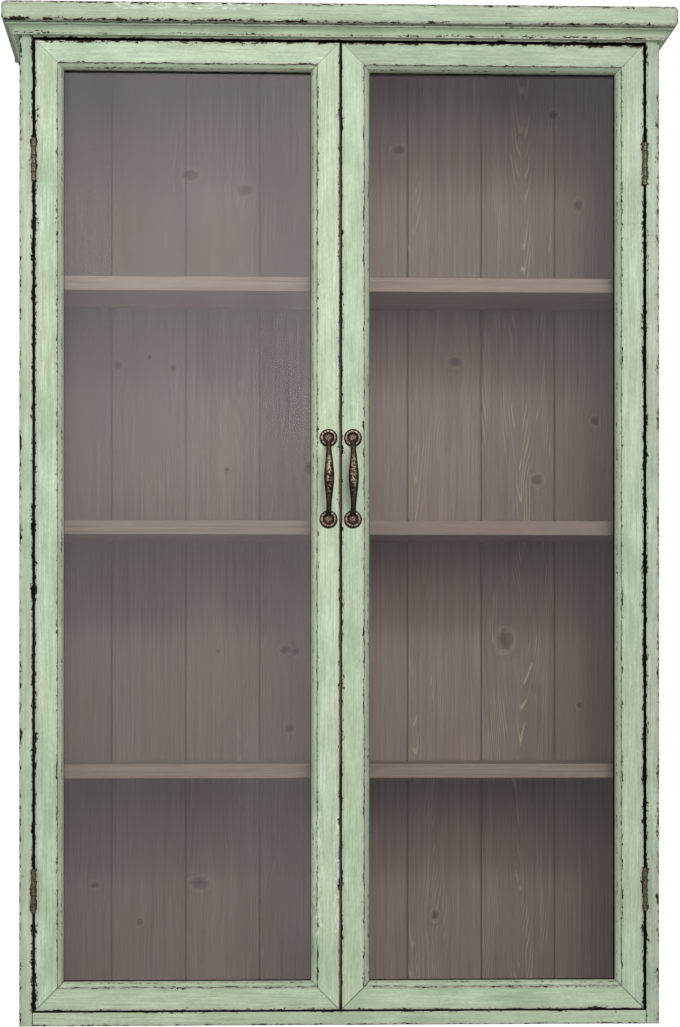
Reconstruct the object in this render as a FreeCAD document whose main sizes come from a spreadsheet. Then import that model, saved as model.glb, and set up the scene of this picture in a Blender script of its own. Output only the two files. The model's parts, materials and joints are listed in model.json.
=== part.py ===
import FreeCAD, Part
import math
import os
from types import SimpleNamespace

import Sketcher
from FreeCAD import Placement, Rotation, Vector

# A glazed wall cupboard: a box of painted boards with a small crown moulding,
# two inset doors on butt hinges, three shelves and a back of matched boards.
# Millimetres. X runs to the right, Y to the back, Z up. The origin is at the
# centre of the underside, midway between the front and back of the box.

SIZES = {
    # The box
    "case_width": 755,
    "case_height": 1200,
    "case_depth": 250,
    "side_thick": 16,
    "bottom_thick": 16,
    "ceiling_thick": 16,
    "arris_radius": 1.2,
    # The top board
    "top_thick": 23,
    "top_side_overhang": 20,
    "top_front_overhang": 25,
    "top_edge_radius": 3.5,
    # The crown moulding, from its flat fillet at the top to its foot
    "crown_height": 13,
    "crown_projection": 15.5,
    "crown_fillet": 2.7,
    "crown_fillet_step": 1.2,
    "crown_foot": 6.5,
    "crown_foot_height": 1.6,
    # The back of tongued and grooved boards
    "back_thick": 12,
    "rebate_width": 8,
    "back_seam": 0.3,
    "back_bevel": 1.3,
    "tongue_thick": 3.6,
    "tongue_length": 5,
    "tongue_clearance": 0.25,
    # The shelves and the pegs that carry them
    "shelf_thick": 17,
    "shelf_setback": 48,
    "shelf_clearance": 0.5,
    "peg_radius": 2.5,
    "peg_depth": 9,
    "peg_reach": 9,
    "peg_head_radius": 3.5,
    "peg_inset": 30,
    # Dowels, nails and screws of the box
    "dowel_radius": 4,
    "dowel_length": 30,
    "dowel_depth": 10,
    "nail_radius": 0.9,
    "nail_length": 32,
    "nail_head_radius": 2,
    "nail_head_height": 0.8,
    "long_screw_radius": 2,
    "long_screw_length": 32,
    "long_screw_head_radius": 4,
    "long_screw_head_height": 2.4,
    "long_screw_inset": 45,
    "fastener_clearance": 0.05,
    # The doors
    "door_gap": 2,
    "door_thick": 22,
    "member_flat": 26.5,
    "moulding_width": 7,
    "quirk_depth": 1.4,
    "glass_setback": 15,
    "lip_thick": 1.2,
    "glass_thick": 3,
    "glass_clearance": 1,
    "bead_clearance": 0.15,
    # The butt hinges and the screws that hold them
    "hinge_length": 50,
    "hinge_inset": 141,
    "knuckle_radius": 2.7,
    "knuckle_gap": 0.3,
    "knuckle_clearance": 0.2,
    "hinge_pin_radius": 1.3,
    "hinge_pin_clearance": 0.05,
    "leaf_width": 14,
    "leaf_clearance": 0.2,
    "plate_thick": 1.2,
    "hinge_screw_pitch": 30,
    "screw_radius": 1.4,
    "screw_head_radius": 3,
    "screw_head_height": 0.7,
    "screw_length": 12,
    # The cast bow pulls
    "pull_pitch": 96,
    "pull_height": 644,
    "pull_inset": 13.4,
    "pull_standoff": 24,
    "grip_diameter": 12.2,
    "rosette_radius": 10.65,
    "rosette_rim": 1.3,
    "rosette_height": 3.1,
    "recess_radius": 6,
    "recess_floor": 1.6,
    "pull_screw_radius": 1.9,
    "pull_screw_length": 18,
    "pull_screw_head_radius": 4,
    "pull_screw_head_height": 2.3,
    # The magnetic catches and their strike plates
    "catch_inset": 46,
    "catch_length": 44,
    "catch_body_length": 24,
    "catch_height": 13,
    "catch_depth": 15,
    "catch_ear_thick": 2.4,
    "catch_gap": 0.3,
    "magnet_length": 18,
    "magnet_height": 8,
    "magnet_depth": 9,
    "magnet_clearance": 0.1,
    "strike_length": 26,
    "strike_height": 12,
    "strike_inset": 5,
}

BACK_BOARDS = 8
SHELVES = ("lower", "middle", "upper")
KNUCKLES = 5
# Small round pieces and their holes are drawn with this many flats. Those of
# screws and nails are a multiple of four, so that a piece and its hole line up
# however they are turned.
NAIL_SIDES = 4
SCREW_SIDES = 8
DOWEL_SIDES = 6
KNUCKLE_SIDES = 12
GRIP_SIDES = 10
ROSETTE_SIDES = 16
# How round the two curved mouldings are: radius over chord.
OVOLO_SHARE = 1.0
COVE_SHARE = 1.0
# The dome of a rosette, from its rim to its recess: how far out and how high
# each corner lies.
DOME_SHARES = ((1, 0), (0.3, 1))
# The stepped dome of a pull screw: radius and top as shares of the head's own.
SCREW_DOME_SHARES = ((1, 0.45), (0.82, 0.8), (0.5, 1))
# Where the three dowels of a joint sit along a board's depth.
DOWEL_SHARES = (0.16, 0.5, 0.84)
# The grip of a pull from its lower foot to its upper one: height, stand-off
# and width as shares of half the pitch, the full stand-off and the full width.
GRIP_SHARES = (
    (-0.830, 0.09, 0.62),
    (-0.795, 0.37, 0.58),
    (-0.700, 0.70, 0.56),
    (-0.520, 0.92, 0.61),
    (-0.220, 1.00, 0.86),
    (0.080, 1.00, 1.00),
    (0.340, 0.99, 0.84),
    (0.570, 0.90, 0.64),
    (0.730, 0.66, 0.58),
    (0.802, 0.37, 0.60),
    (0.832, 0.09, 0.64),
)

doc = FreeCAD.newDocument("cupboard")
nodes = []


class Size:
    """A length, with the sheet expression that gives it."""

    def __init__(self, value, text):
        self.value = value
        self.text = text

    def __add__(self, other):
        other = as_size(other)
        return Size(self.value + other.value, f"({self.text} + {other.text})")

    def __sub__(self, other):
        other = as_size(other)
        return Size(self.value - other.value, f"({self.text} - {other.text})")

    def __rsub__(self, other):
        return as_size(other) - self

    def __mul__(self, share):
        share = as_size(share)
        return Size(self.value * share.value, f"({self.text} * {share.text})")

    def __truediv__(self, share):
        share = as_size(share)
        return Size(self.value / share.value, f"({self.text} / {share.text})")

    def __neg__(self):
        return self * -1

    __radd__ = __add__
    __rmul__ = __mul__


def as_size(value):
    """Take a plain number or a size."""
    return value if isinstance(value, Size) else Size(value, f"({value})")


def chord(across, up):
    """The straight distance between two points that lie this far apart."""
    length = math.hypot(across.value, up.value)
    return Size(length, f"sqrt({across.text}^2 + {up.text}^2)")


def read_sheet():
    """Write the driving dimensions to the sheet and give each as a size."""
    sheet = doc.addObject("Spreadsheet::Sheet", "sizes")
    for row, (name, value) in enumerate(SIZES.items(), 1):
        sheet.set(f"A{row}", name)
        sheet.set(f"B{row}", str(value))
        sheet.setAlias(f"B{row}", name)
    doc.recompute()
    return SimpleNamespace(**{
        name: Size(float(sheet.get(name)), f"sizes.{name}") for name in SIZES
    })


def bind(thing, path, size):
    """Tie a property of an object to the sheet."""
    thing.setExpression(path, as_size(size).text)


def place(thing, x=0, y=0, z=0, axes=None):
    """Put a piece where it belongs; axes say where its own X, Y and Z point."""
    rotation = Rotation(*[Vector(*axis) for axis in axes]) if axes else Rotation()
    thing.Placement = Placement(Vector(), rotation)
    for axis, distance in zip("xyz", (x, y, z)):
        bind(thing, f"Placement.Base.{axis}", distance)


def node(piece):
    """Keep a piece as one of the files that are handed over."""
    nodes.append(piece)
    return piece


def new_body(name):
    """Start a piece."""
    body = doc.addObject("PartDesign::Body", name)
    body.Label = name
    return body


def new_sketch(body, plane, level=0, across=0, up=0, tilt=0):
    """Open a sketch on one of the body's planes, moved by the given sizes.

    level is the coordinate along the plane's own axis, and tilt turns the
    sketch about its first axis, in degrees.
    """
    sketch = body.newObject("Sketcher::SketchObject", body.Name + "_sketch")
    origin = [f for f in body.Origin.OriginFeatures if f.Role == plane + "_Plane"][0]
    sketch.AttachmentSupport = [(origin, "")]
    sketch.MapMode = "FlatFace"
    sketch.AttachmentOffset = Placement(Vector(), Rotation(Vector(1, 0, 0), tilt))
    # The XZ plane looks along -Y, so its levels count the other way.
    out = -as_size(level) if plane == "XZ" else as_size(level)
    for axis, distance in zip("xyz", (across, up, out)):
        bind(sketch, f"AttachmentOffset.Base.{axis}", distance)
    return sketch


def arc_between(start, end, radius):
    """An arc between two points: a positive radius turns to the left."""
    middle = (start + end) / 2
    half = (end - start).Length / 2
    rise = math.sqrt(max(radius * radius - half * half, 0))
    left = Vector(start.y - end.y, end.x - start.x, 0).normalize()
    centre = middle + left * (rise if radius > 0 else -rise)
    first, last = (start, end) if radius > 0 else (end, start)
    angles = [math.atan2(p.y - centre.y, p.x - centre.x) for p in (first, last)]
    if angles[1] < angles[0]:
        angles[1] += math.tau
    circle = Part.Circle(centre, Vector(0, 0, 1), abs(radius))
    return Part.ArcOfCircle(circle, *angles)


def draw(sketch, corners):
    """Close an outline through corners (x, y) or (x, y, radius).

    A radius makes the side that leads to its corner an arc.
    """
    corners = [[as_size(value) for value in corner] for corner in corners]
    spots = [Vector(corner[0].value, corner[1].value, 0) for corner in corners]
    sides = []
    lines = []
    for index, corner in enumerate(corners):
        start, end = spots[index - 1], spots[index]
        if len(corner) == 2:
            lines.append(Part.LineSegment(start, end))
            sides.append((1, 2))
        else:
            lines.append(arc_between(start, end, corner[2].value))
            sides.append((1, 2) if corner[2].value > 0 else (2, 1))
    first_line = sketch.addGeometry(lines, False)[0]
    rules = []
    formulas = []
    for index, corner in enumerate(corners):
        side = first_line + index
        last = sides[index][1]
        after = (index + 1) % len(corners)
        rules.append(Sketcher.Constraint("Coincident", side, last,
                                         first_line + after, sides[after][0]))
        formulas.append(None)
        for kind, distance in zip(("DistanceX", "DistanceY"), corner):
            rules.append(Sketcher.Constraint(kind, -1, 1, side, last, distance.value))
            formulas.append(distance.text)
        if len(corner) > 2:
            rules.append(Sketcher.Constraint("Radius", side, abs(corner[2].value)))
            formulas.append(f"abs({corner[2].text})")
    for number, formula in zip(sketch.addConstraint(rules), formulas):
        if formula:
            sketch.setExpression(f"Constraints[{number}]", formula)
    return sketch


def ring(x, y, radius, sides, outside=False):
    """The corners of a regular polygon that stands for a circle.

    Its corners lie on the circle, or its flats do if it is outside.
    """
    step = math.pi / sides
    if outside:
        radius = radius * (1 / math.cos(step))
    angles = [step * (2 * number + 1) for number in range(sides)]
    return [(x + radius * math.cos(angle), y + radius * math.sin(angle)) for angle in angles]


def rectangle(x0, y0, x1, y1):
    """The corners of a rectangle, anticlockwise from the lowest."""
    return [(x0, y0), (x1, y0), (x1, y1), (x0, y1)]


def pad(body, sketch, length):
    """Raise a sketch along its normal."""
    feature = body.newObject("PartDesign::Pad", body.Name + "_pad")
    feature.Profile = sketch
    bind(feature, "Length", length)
    return feature


def cut(body, sketch, depth=None):
    """Cut a sketch into the piece, to a depth on both sides of it or through all."""
    feature = body.newObject("PartDesign::Pocket", body.Name + "_cut")
    feature.Profile = sketch
    feature.Refine = False
    feature.Midplane = True
    if depth is None:
        feature.Type = "ThroughAll"
    else:
        bind(feature, "Length", depth * 2)
    return feature


def drill(body, plane, level, spots, radius, depth=None, sides=SCREW_SIDES):
    """Drill equal holes square to one of the body's planes, to clear a fastener."""
    for x, y in spots:
        hole = ring(as_size(x), as_size(y), radius + s.fastener_clearance, sides)
        cut(body, draw(new_sketch(body, plane, level), hole), depth)


def counterbore(body, plane, level, spots, radius, head_radius, head_height, depth):
    """Drill equal holes for screws whose heads are let in flush with the face."""
    drill(body, plane, level, spots, radius, depth)
    return drill(body, plane, level, spots, head_radius, head_height)


def loft(body, rings):
    """Add a straight-sided form through outlines that follow each other."""
    feature = body.newObject("PartDesign::AdditiveLoft", body.Name + "_loft")
    feature.Profile = rings[0]
    feature.Sections = rings[1:]
    feature.Ruled = True
    return feature


def turned(name, steps, sides=SCREW_SIDES):
    """A round piece about its Z axis, from steps (radius, foot, top)."""
    body = new_body(name)
    for radius, foot, top in steps:
        disc = ring(as_size(0), as_size(0), radius, sides)
        pad(body, draw(new_sketch(body, "XY", foot), disc), top - foot)
    return body


def ease(body, feature, radius, chosen):
    """Round the edges both of whose ends pass the test."""
    doc.recompute()
    edges = []
    for number, edge in enumerate(feature.Shape.Edges, 1):
        if all(chosen(vertex.Point) for vertex in edge.Vertexes):
            edges.append(f"Edge{number}")
    fillet = body.newObject("PartDesign::Fillet", body.Name + "_ease")
    fillet.Base = (feature, edges)
    bind(fillet, "Radius", radius)
    return fillet


def near(value, size):
    """Whether a coordinate lies at a size."""
    return math.isclose(value, as_size(size).value, abs_tol=s.fastener_clearance.value)


def copy(piece, x=0, y=0, z=0, axes=None):
    """Place a copy of a piece that is drawn once."""
    link = doc.addObject("App::Link", piece.Name + "_copy")
    link.LinkedObject = piece
    place(link, x, y, z, axes)
    return link


def group(name, pieces):
    """Join like pieces in one node, each still a solid of its own."""
    compound = doc.addObject("Part::Compound", name)
    compound.Label = name
    compound.Links = pieces
    return node(compound)


def node_copy(name, piece, x=0, y=0, z=0, axes=None):
    """Make a node of its own from a copy of a piece that is drawn once."""
    return group(name, [copy(piece, x, y, z, axes)])


s = read_sheet()

# Places that several pieces share.
left = -s.case_width / 2
front = -s.case_depth / 2
back = s.case_depth / 2
panel_height = s.case_height - s.top_thick
inner_width = s.case_width - s.side_thick * 2
inner_depth = s.case_depth - s.back_thick
ceiling_level = panel_height - s.ceiling_thick
door_width = (inner_width - s.door_gap * 3) / 2
door_height = ceiling_level - s.bottom_thick - s.door_gap * 2
door_foot = s.bottom_thick + s.door_gap
hinge_x = inner_width / 2 - s.door_gap / 2
hinge_y = front - s.knuckle_radius - s.knuckle_clearance
hinge_levels = {
    "lower": door_foot + s.hinge_inset - s.hinge_length / 2,
    "upper": door_foot + door_height - s.hinge_inset - s.hinge_length / 2,
}
mortise_depth = s.knuckle_radius - s.door_gap / 2
mortise_width = s.leaf_width - s.knuckle_radius - s.knuckle_clearance + s.leaf_clearance
hinge_screw_y = (s.knuckle_radius + s.knuckle_gap + s.leaf_width) / 2
hinge_screw_levels = [
    (s.hinge_length - s.hinge_screw_pitch) / 2,
    (s.hinge_length + s.hinge_screw_pitch) / 2,
]
compartment = (ceiling_level - s.bottom_thick - s.shelf_thick * len(SHELVES)) / (len(SHELVES) + 1)
shelf_levels = [
    s.bottom_thick + compartment * (number + 1) + s.shelf_thick * number
    for number in range(len(SHELVES))
]
shelf_front = front + s.shelf_setback
shelf_depth = back - s.back_thick - s.shelf_clearance - shelf_front
dowel_places = [inner_depth * share for share in DOWEL_SHARES]
pitch = (inner_width + s.rebate_width * 2) / BACK_BOARDS
back_edge = inner_width / 2 + s.rebate_width
SIDES = (("left", 1), ("right", -1))


def side_panel(name, side):
    """A side board, drawn from its outer face inwards, with a rear rebate."""
    body = new_body(name)
    thick = s.side_thick * side
    ledge = (s.side_thick - s.rebate_width) * side
    corners = [(0, 0), (thick, 0), (thick, inner_depth), (ledge, inner_depth),
               (ledge, s.case_depth), (0, s.case_depth)]
    board = pad(body, draw(new_sketch(body, "XY"), corners), panel_height)
    ease(body, board, s.arris_radius, lambda point: near(point.y, 0))
    lines = (s.bottom_thick / 2, ceiling_level + s.ceiling_thick / 2)
    spots = [(place_y, line) for line in lines for place_y in dowel_places]
    drill(body, "YZ", thick, spots, s.dowel_radius, s.dowel_depth, DOWEL_SIDES)
    pegs = [(y, level - s.peg_head_radius) for level in shelf_levels for y in peg_places]
    drill(body, "YZ", thick, pegs, s.peg_radius, s.peg_depth, DOWEL_SIDES)
    for level in hinge_levels.values():
        mortise = rectangle(-s.arris_radius, level - s.leaf_clearance, mortise_width,
                            level + s.hinge_length + s.leaf_clearance)
        cut(body, draw(new_sketch(body, "YZ", thick), mortise), mortise_depth)
        screw_y = hinge_y + hinge_screw_y - front
        spots = [(screw_y, level + height) for height in hinge_screw_levels]
        drill(body, "YZ", thick, spots, s.screw_radius, mortise_depth + s.screw_length)
    place(body, left * side, front, 0)
    return node(body)


def cross_board(name, thick, level):
    """The bottom or the ceiling, between the side boards."""
    body = new_body(name)
    outline = rectangle(0, 0, inner_width, inner_depth)
    board = pad(body, draw(new_sketch(body, "XY"), outline), thick)
    ease(body, board, s.arris_radius, lambda point: near(point.y, 0))
    spots = [(place_y, thick / 2) for place_y in dowel_places]
    for end in (0, inner_width):
        drill(body, "YZ", end, spots, s.dowel_radius, s.dowel_length - s.dowel_depth,
              DOWEL_SIDES)
    spots = [(pitch * (number + 1 / 2) - s.rebate_width, thick / 2)
             for number in range(BACK_BOARDS)]
    drill(body, "XZ", inner_depth, spots, s.nail_radius,
          s.nail_length - s.back_thick + s.fastener_clearance, NAIL_SIDES)
    place(body, -inner_width / 2, front, level)
    return node(body)


def ceiling_board():
    """The ceiling, with holes for the screws of the top board and the catches."""
    body = cross_board("ceiling_board", s.ceiling_thick, ceiling_level)
    counterbore(body, "XY", 0, long_screw_places, s.long_screw_radius,
                s.long_screw_head_radius, s.long_screw_head_height, s.ceiling_thick)
    centre = inner_width / 2
    spots = [(centre + (s.catch_inset + reach * sign) * side, catch_screw_y)
             for _, side in SIDES for sign, reach in catch_screw_reaches]
    drill(body, "XY", 0, spots, s.screw_radius,
          s.screw_length - s.catch_ear_thick + s.fastener_clearance)


def top_board():
    """The overhanging top, rounded along its front and sides."""
    body = new_body("top_board")
    wide = s.case_width + s.top_side_overhang * 2
    deep = s.case_depth + s.top_front_overhang
    board = pad(body, draw(new_sketch(body, "XY"), rectangle(0, 0, wide, deep)), s.top_thick)
    doc.recompute()
    edges = [f"Edge{number}" for number, edge in enumerate(board.Shape.Edges, 1)
             if near(edge.Vertexes[0].Point.z, edge.Vertexes[1].Point.z)
             and not all(near(vertex.Point.y, deep) for vertex in edge.Vertexes)]
    fillet = body.newObject("PartDesign::Fillet", "top_board_round")
    fillet.Base = (board, edges)
    bind(fillet, "Radius", s.top_edge_radius)
    shift_x = s.top_side_overhang + s.side_thick
    spots = [(x + shift_x, y + s.top_front_overhang) for x, y in long_screw_places]
    drill(body, "XY", 0, spots, s.long_screw_radius,
          s.long_screw_length - s.ceiling_thick + s.fastener_clearance)
    place(body, left - s.top_side_overhang, front - s.top_front_overhang, panel_height)
    return node(body)


def mitred_strip(name, section, wide, length, mitres=(True, True)):
    """A strip with the given section, whose ends are mitred towards its inner edge."""
    body = new_body(name)
    pad(body, draw(new_sketch(body, "XY"), section), length)
    if mitres[0]:
        cut(body, draw(new_sketch(body, "XZ"), [(0, 0), (wide, 0), (wide, wide)]))
    if mitres[1]:
        far = [(0, length), (wide, length - wide), (wide, length)]
        cut(body, draw(new_sketch(body, "XZ"), far))
    return body


def crown():
    """The crown moulding: a front length and two returns, mitred at the corners."""
    out = s.crown_projection
    tall = s.crown_height
    foot = out - s.crown_foot
    shoulder = tall - s.crown_fillet
    cove = chord(foot - s.crown_fillet_step, shoulder - s.crown_foot_height) * COVE_SHARE
    section = [(foot, 0), (out, 0), (out, tall), (0, tall), (0, shoulder),
               (s.crown_fillet_step, shoulder), (foot, s.crown_foot_height, -cove)]
    level = panel_height - tall
    wide = s.case_width + out * 2
    deep = s.case_depth + out
    strip = mitred_strip("crown_moulding_front", section, out, wide)
    place(strip, left - out, front - out, level, ((0, 1, 0), (0, 0, 1), (1, 0, 0)))
    node(strip)
    strip = mitred_strip("crown_moulding_left", section, out, deep, (False, True))
    place(strip, left - out, back, level, ((1, 0, 0), (0, 0, 1), (0, -1, 0)))
    node(strip)
    strip = mitred_strip("crown_moulding_right", section, out, deep, (True, False))
    place(strip, out - left, front - out, level, ((-1, 0, 0), (0, 0, 1), (0, 1, 0)))
    node(strip)


def back_board(name, tongued=True, grooved=True):
    """A matched board of the back, with a bevel along each front edge."""
    body = new_body(name)
    wide = pitch - s.back_seam
    thick = s.back_thick
    bevel = s.back_bevel
    tongue = [(thick - s.tongue_thick) / 2, (thick + s.tongue_thick) / 2]
    groove = [tongue[0] - s.tongue_clearance, tongue[1] + s.tongue_clearance]
    reach = wide + s.tongue_length
    slot = s.tongue_length - s.back_seam + s.tongue_clearance
    corners = [(bevel, 0), (wide - bevel, 0), (wide, bevel)]
    if tongued:
        corners += [(wide, tongue[0]), (reach, tongue[0]), (reach, tongue[1]), (wide, tongue[1])]
    corners += [(wide, thick), (0, thick)]
    if grooved:
        corners += [(0, groove[1]), (slot, groove[1]), (slot, groove[0]), (0, groove[0])]
    corners += [(0, bevel)]
    pad(body, draw(new_sketch(body, "XY"), corners), panel_height)
    spots = [(pitch / 2 - s.back_seam / 2, level) for level in nail_levels]
    drill(body, "XZ", 0, spots, s.nail_radius, sides=NAIL_SIDES)
    drill(body, "XZ", thick, spots, s.nail_head_radius,
          s.nail_head_height + s.fastener_clearance, NAIL_SIDES)
    return body


def back_boards():
    """The back: a first board with no groove, a last one with no tongue, and others between."""
    first = back_board("first_back_board", grooved=False)
    middle = back_board("middle_back_board")
    last = back_board("last_back_board", tongued=False)
    boards = [first] + [middle] * (BACK_BOARDS - 2) + [last]
    for number, board in enumerate(boards):
        node_copy(f"back_board_{number + 1}", board,
                  -back_edge + pitch * number + s.back_seam / 2, back - s.back_thick)


def shelves():
    """Three loose shelves, each resting on four pegs."""
    body = new_body("shelf")
    wide = inner_width - s.shelf_clearance * 2
    outline = rectangle(0, 0, wide, shelf_depth)
    board = pad(body, draw(new_sketch(body, "XY"), outline), s.shelf_thick)
    ease(body, board, s.arris_radius, lambda point: near(point.y, 0))
    for name, level in zip(SHELVES, shelf_levels):
        node_copy("shelf_" + name, body, s.shelf_clearance - inner_width / 2, shelf_front, level)


def shelf_pegs():
    """Turned pegs with a thicker head, pushed into the sides under each shelf."""
    pegs = []
    peg = turned("shelf_peg", [(s.peg_radius, -s.peg_depth, as_size(0)),
                               (s.peg_head_radius, as_size(0), s.peg_reach)], DOWEL_SIDES)
    for level in shelf_levels:
        for side_name, side in SIDES:
            for y in peg_places:
                pegs.append(copy(
                    peg, -side * inner_width / 2, front + y, level - s.peg_head_radius,
                    ((0, side, 0), (0, 0, 1), (side, 0, 0))))
    return group("shelf_pegs", pegs)


def dowels():
    """Dowels glued across the four joints of the box."""
    pieces = []
    dowel = turned("dowel", [(s.dowel_radius, -s.dowel_depth, s.dowel_length - s.dowel_depth)],
                   DOWEL_SIDES)
    for line in (s.bottom_thick / 2, ceiling_level + s.ceiling_thick / 2):
        for side_name, side in SIDES:
            for y in dowel_places:
                pieces.append(copy(dowel, -side * inner_width / 2, front + y, line,
                                   ((0, side, 0), (0, 0, 1), (side, 0, 0))))
    return group("carcass_dowels", pieces)


def back_nails():
    """Square nails through the back boards into the bottom and the ceiling."""
    pieces = []
    nail = screw("back_nail", s.nail_radius, s.nail_length,
                 s.nail_head_radius, s.nail_head_height, NAIL_SIDES)
    for level in nail_levels:
        for number in range(BACK_BOARDS):
            pieces.append(copy(nail, pitch * (number + 1 / 2) - back_edge, back, level,
                               ((1, 0, 0), (0, 0, -1), (0, 1, 0))))
    return group("back_nails", pieces)


def screw(name, radius, length, head_radius, head_height, sides=SCREW_SIDES):
    """A flat-headed screw or nail, head up, its face at zero."""
    return turned(name, [(radius, -length, -head_height),
                         (head_radius, -head_height, as_size(0))], sides)


def top_board_screws():
    """Screws up through the ceiling into the top board."""
    long_screw = screw("top_board_screw", s.long_screw_radius, s.long_screw_length,
                       s.long_screw_head_radius, s.long_screw_head_height)
    pieces = [copy(long_screw, x - inner_width / 2, front + y, ceiling_level,
                   ((1, 0, 0), (0, -1, 0), (0, 0, -1))) for x, y in long_screw_places]
    return group("top_board_screws", pieces)


def member_section():
    """The section of a door's frame, from its outer edge and its front.

    A flat face ends in a quirk, an ovolo falls from there to the glass, and a
    rebate behind the ovolo holds the glass and its bead.
    """
    sight = s.member_flat + s.moulding_width
    fall = s.glass_setback - s.lip_thick
    ovolo = chord(s.moulding_width, fall - s.quirk_depth) * OVOLO_SHARE
    ease_radius = s.arris_radius
    return [(0, s.door_thick), (0, ease_radius), (ease_radius, 0, ease_radius),
            (s.member_flat, 0), (s.member_flat, s.quirk_depth), (sight, fall, ovolo),
            (sight, s.glass_setback), (s.member_flat, s.glass_setback),
            (s.member_flat, s.door_thick)]


def frame_places(x, wide, foot, tall):
    """Where the four strips of an upright frame start, and how they point."""
    return {
        "left": (x, foot, tall, ((1, 0, 0), (0, 1, 0), (0, 0, 1))),
        "top": (x, foot + tall, wide, ((0, 0, -1), (0, 1, 0), (1, 0, 0))),
        "right": (x + wide, foot + tall, tall, ((-1, 0, 0), (0, 1, 0), (0, 0, -1))),
        "bottom": (x + wide, foot, wide, ((0, 0, 1), (0, 1, 0), (-1, 0, 0))),
    }


def door(name, side):
    """A glazed door: four mitred members, the glass and its beads."""
    x = -inner_width / 2 + s.door_gap if side > 0 else s.door_gap / 2
    members = {"left": "hinge_stile", "right": "meeting_stile",
               "top": "top_rail", "bottom": "bottom_rail"}
    if side < 0:
        members["left"], members["right"] = members["right"], members["left"]
    section = member_section()
    wide = s.member_flat + s.moulding_width
    for edge, (start, level, length, axes) in frame_places(
            x, door_width, door_foot, door_height).items():
        strip = mitred_strip(f"{name}_{members[edge]}", section, wide, length)
        if members[edge] == "hinge_stile":
            hinge_recesses(strip, length, side)
        if members[edge] == "meeting_stile":
            pull_holes(strip, length, side)
        if members[edge] == "top_rail":
            strike_hole(strip, length, side)
        place(strip, start, front, level, axes)
        node(strip)

    inset = s.member_flat + s.glass_clearance
    glass = new_body(name + "_glass")
    outline = rectangle(0, 0, door_width - inset * 2, s.glass_thick)
    pad(glass, draw(new_sketch(glass, "XY"), outline), door_height - inset * 2)
    place(glass, x + inset, front + s.glass_setback, door_foot + inset)
    node(glass)

    inset = s.member_flat + s.bead_clearance
    deep = s.door_thick - s.glass_setback - s.glass_thick
    bead_wide = s.moulding_width - s.bead_clearance
    section = rectangle(0, s.bead_clearance, bead_wide, deep)
    beads = []
    for edge, (start, level, length, axes) in frame_places(
            x + inset, door_width - inset * 2, door_foot + inset,
            door_height - inset * 2).items():
        strip = mitred_strip(f"{name}_{edge}_bead", section, bead_wide, length)
        place(strip, start, front + s.door_thick - deep, level, axes)
        beads.append(strip)
    group(name + "_glazing_beads", beads)


def along_stile(height, length, side, hinge):
    """Turn a height above the door's foot into a distance along a stile.

    A stile on the door's right is drawn from its top down.
    """
    on_left = (side > 0) == hinge
    return height if on_left else length - height


def hinge_recesses(strip, length, side):
    """Mortises and screw holes for the leaves, in the outer edge of a stile."""
    screw_y = hinge_y + hinge_screw_y - front
    for level in hinge_levels.values():
        ends = [along_stile(level - door_foot + height, length, side, True)
                for height in (-s.leaf_clearance, s.hinge_length + s.leaf_clearance)]
        mortise = rectangle(-s.arris_radius, ends[0], mortise_width, ends[1])
        cut(strip, draw(new_sketch(strip, "YZ"), mortise), mortise_depth)
        spots = [(screw_y, along_stile(level - door_foot + height, length, side, True))
                 for height in hinge_screw_levels]
        drill(strip, "YZ", 0, spots, s.screw_radius, mortise_depth + s.screw_length)


def pull_holes(strip, length, side):
    """Pilot holes for the pull's two screws."""
    spots = []
    for sign in (-1, 1):
        height = s.pull_height + s.pull_pitch / 2 * sign - door_foot
        spots.append((s.pull_inset, along_stile(height, length, side, False)))
    depth = s.pull_screw_length - s.recess_floor + s.fastener_clearance
    drill(strip, "XZ", 0, spots, s.pull_screw_radius, depth)


def strike_hole(strip, length, side):
    """A pilot hole for the strike plate's screw, in the back of the top rail."""
    along = length - strike_from_edge if side > 0 else strike_from_edge
    spot = (s.strike_inset + s.strike_height / 2, along)
    drill(strip, "XZ", s.door_thick, [spot], s.screw_radius,
          s.screw_length - s.plate_thick + s.fastener_clearance)


def knuckle_cuts(outer):
    """Where a leaf makes room for the other leaf's knuckles, from the bottom up."""
    knuckle = s.hinge_length / KNUCKLES
    free = s.knuckle_gap / 2
    spans = []
    for number in range(1 if outer else 0, KNUCKLES, 2):
        low = knuckle * number - free
        high = knuckle * (number + 1) + free
        spans.append((low, high))
    return spans


def hinge_leaf(name, side, outer):
    """A leaf and its knuckles, about the axis of the pin.

    side says on which side of the pin the plate lies; the outer leaf holds
    the first and last knuckles.
    """
    body = new_body(name)
    face = (s.knuckle_radius - s.plate_thick) * side
    plate = rectangle(face, 0, s.knuckle_radius * side, s.leaf_width)
    pad(body, draw(new_sketch(body, "XY"), plate), s.hinge_length)
    barrel = ring(as_size(0), as_size(0), s.knuckle_radius, KNUCKLE_SIDES, outside=True)
    pad(body, draw(new_sketch(body, "XY"), barrel), s.hinge_length)
    room = s.knuckle_radius + s.knuckle_gap
    for low, high in knuckle_cuts(outer):
        cut(body, draw(new_sketch(body, "YZ"), rectangle(-room, low, room, high)))
    bore = ring(as_size(0), as_size(0), s.hinge_pin_radius + s.hinge_pin_clearance,
                SCREW_SIDES, outside=True)
    cut(body, draw(new_sketch(body, "XY"), bore))
    spots = [(hinge_screw_y, height) for height in hinge_screw_levels]
    counterbore(body, "YZ", face, spots, s.screw_radius,
                s.screw_head_radius, s.screw_head_height, s.plate_thick)
    return body


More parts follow.
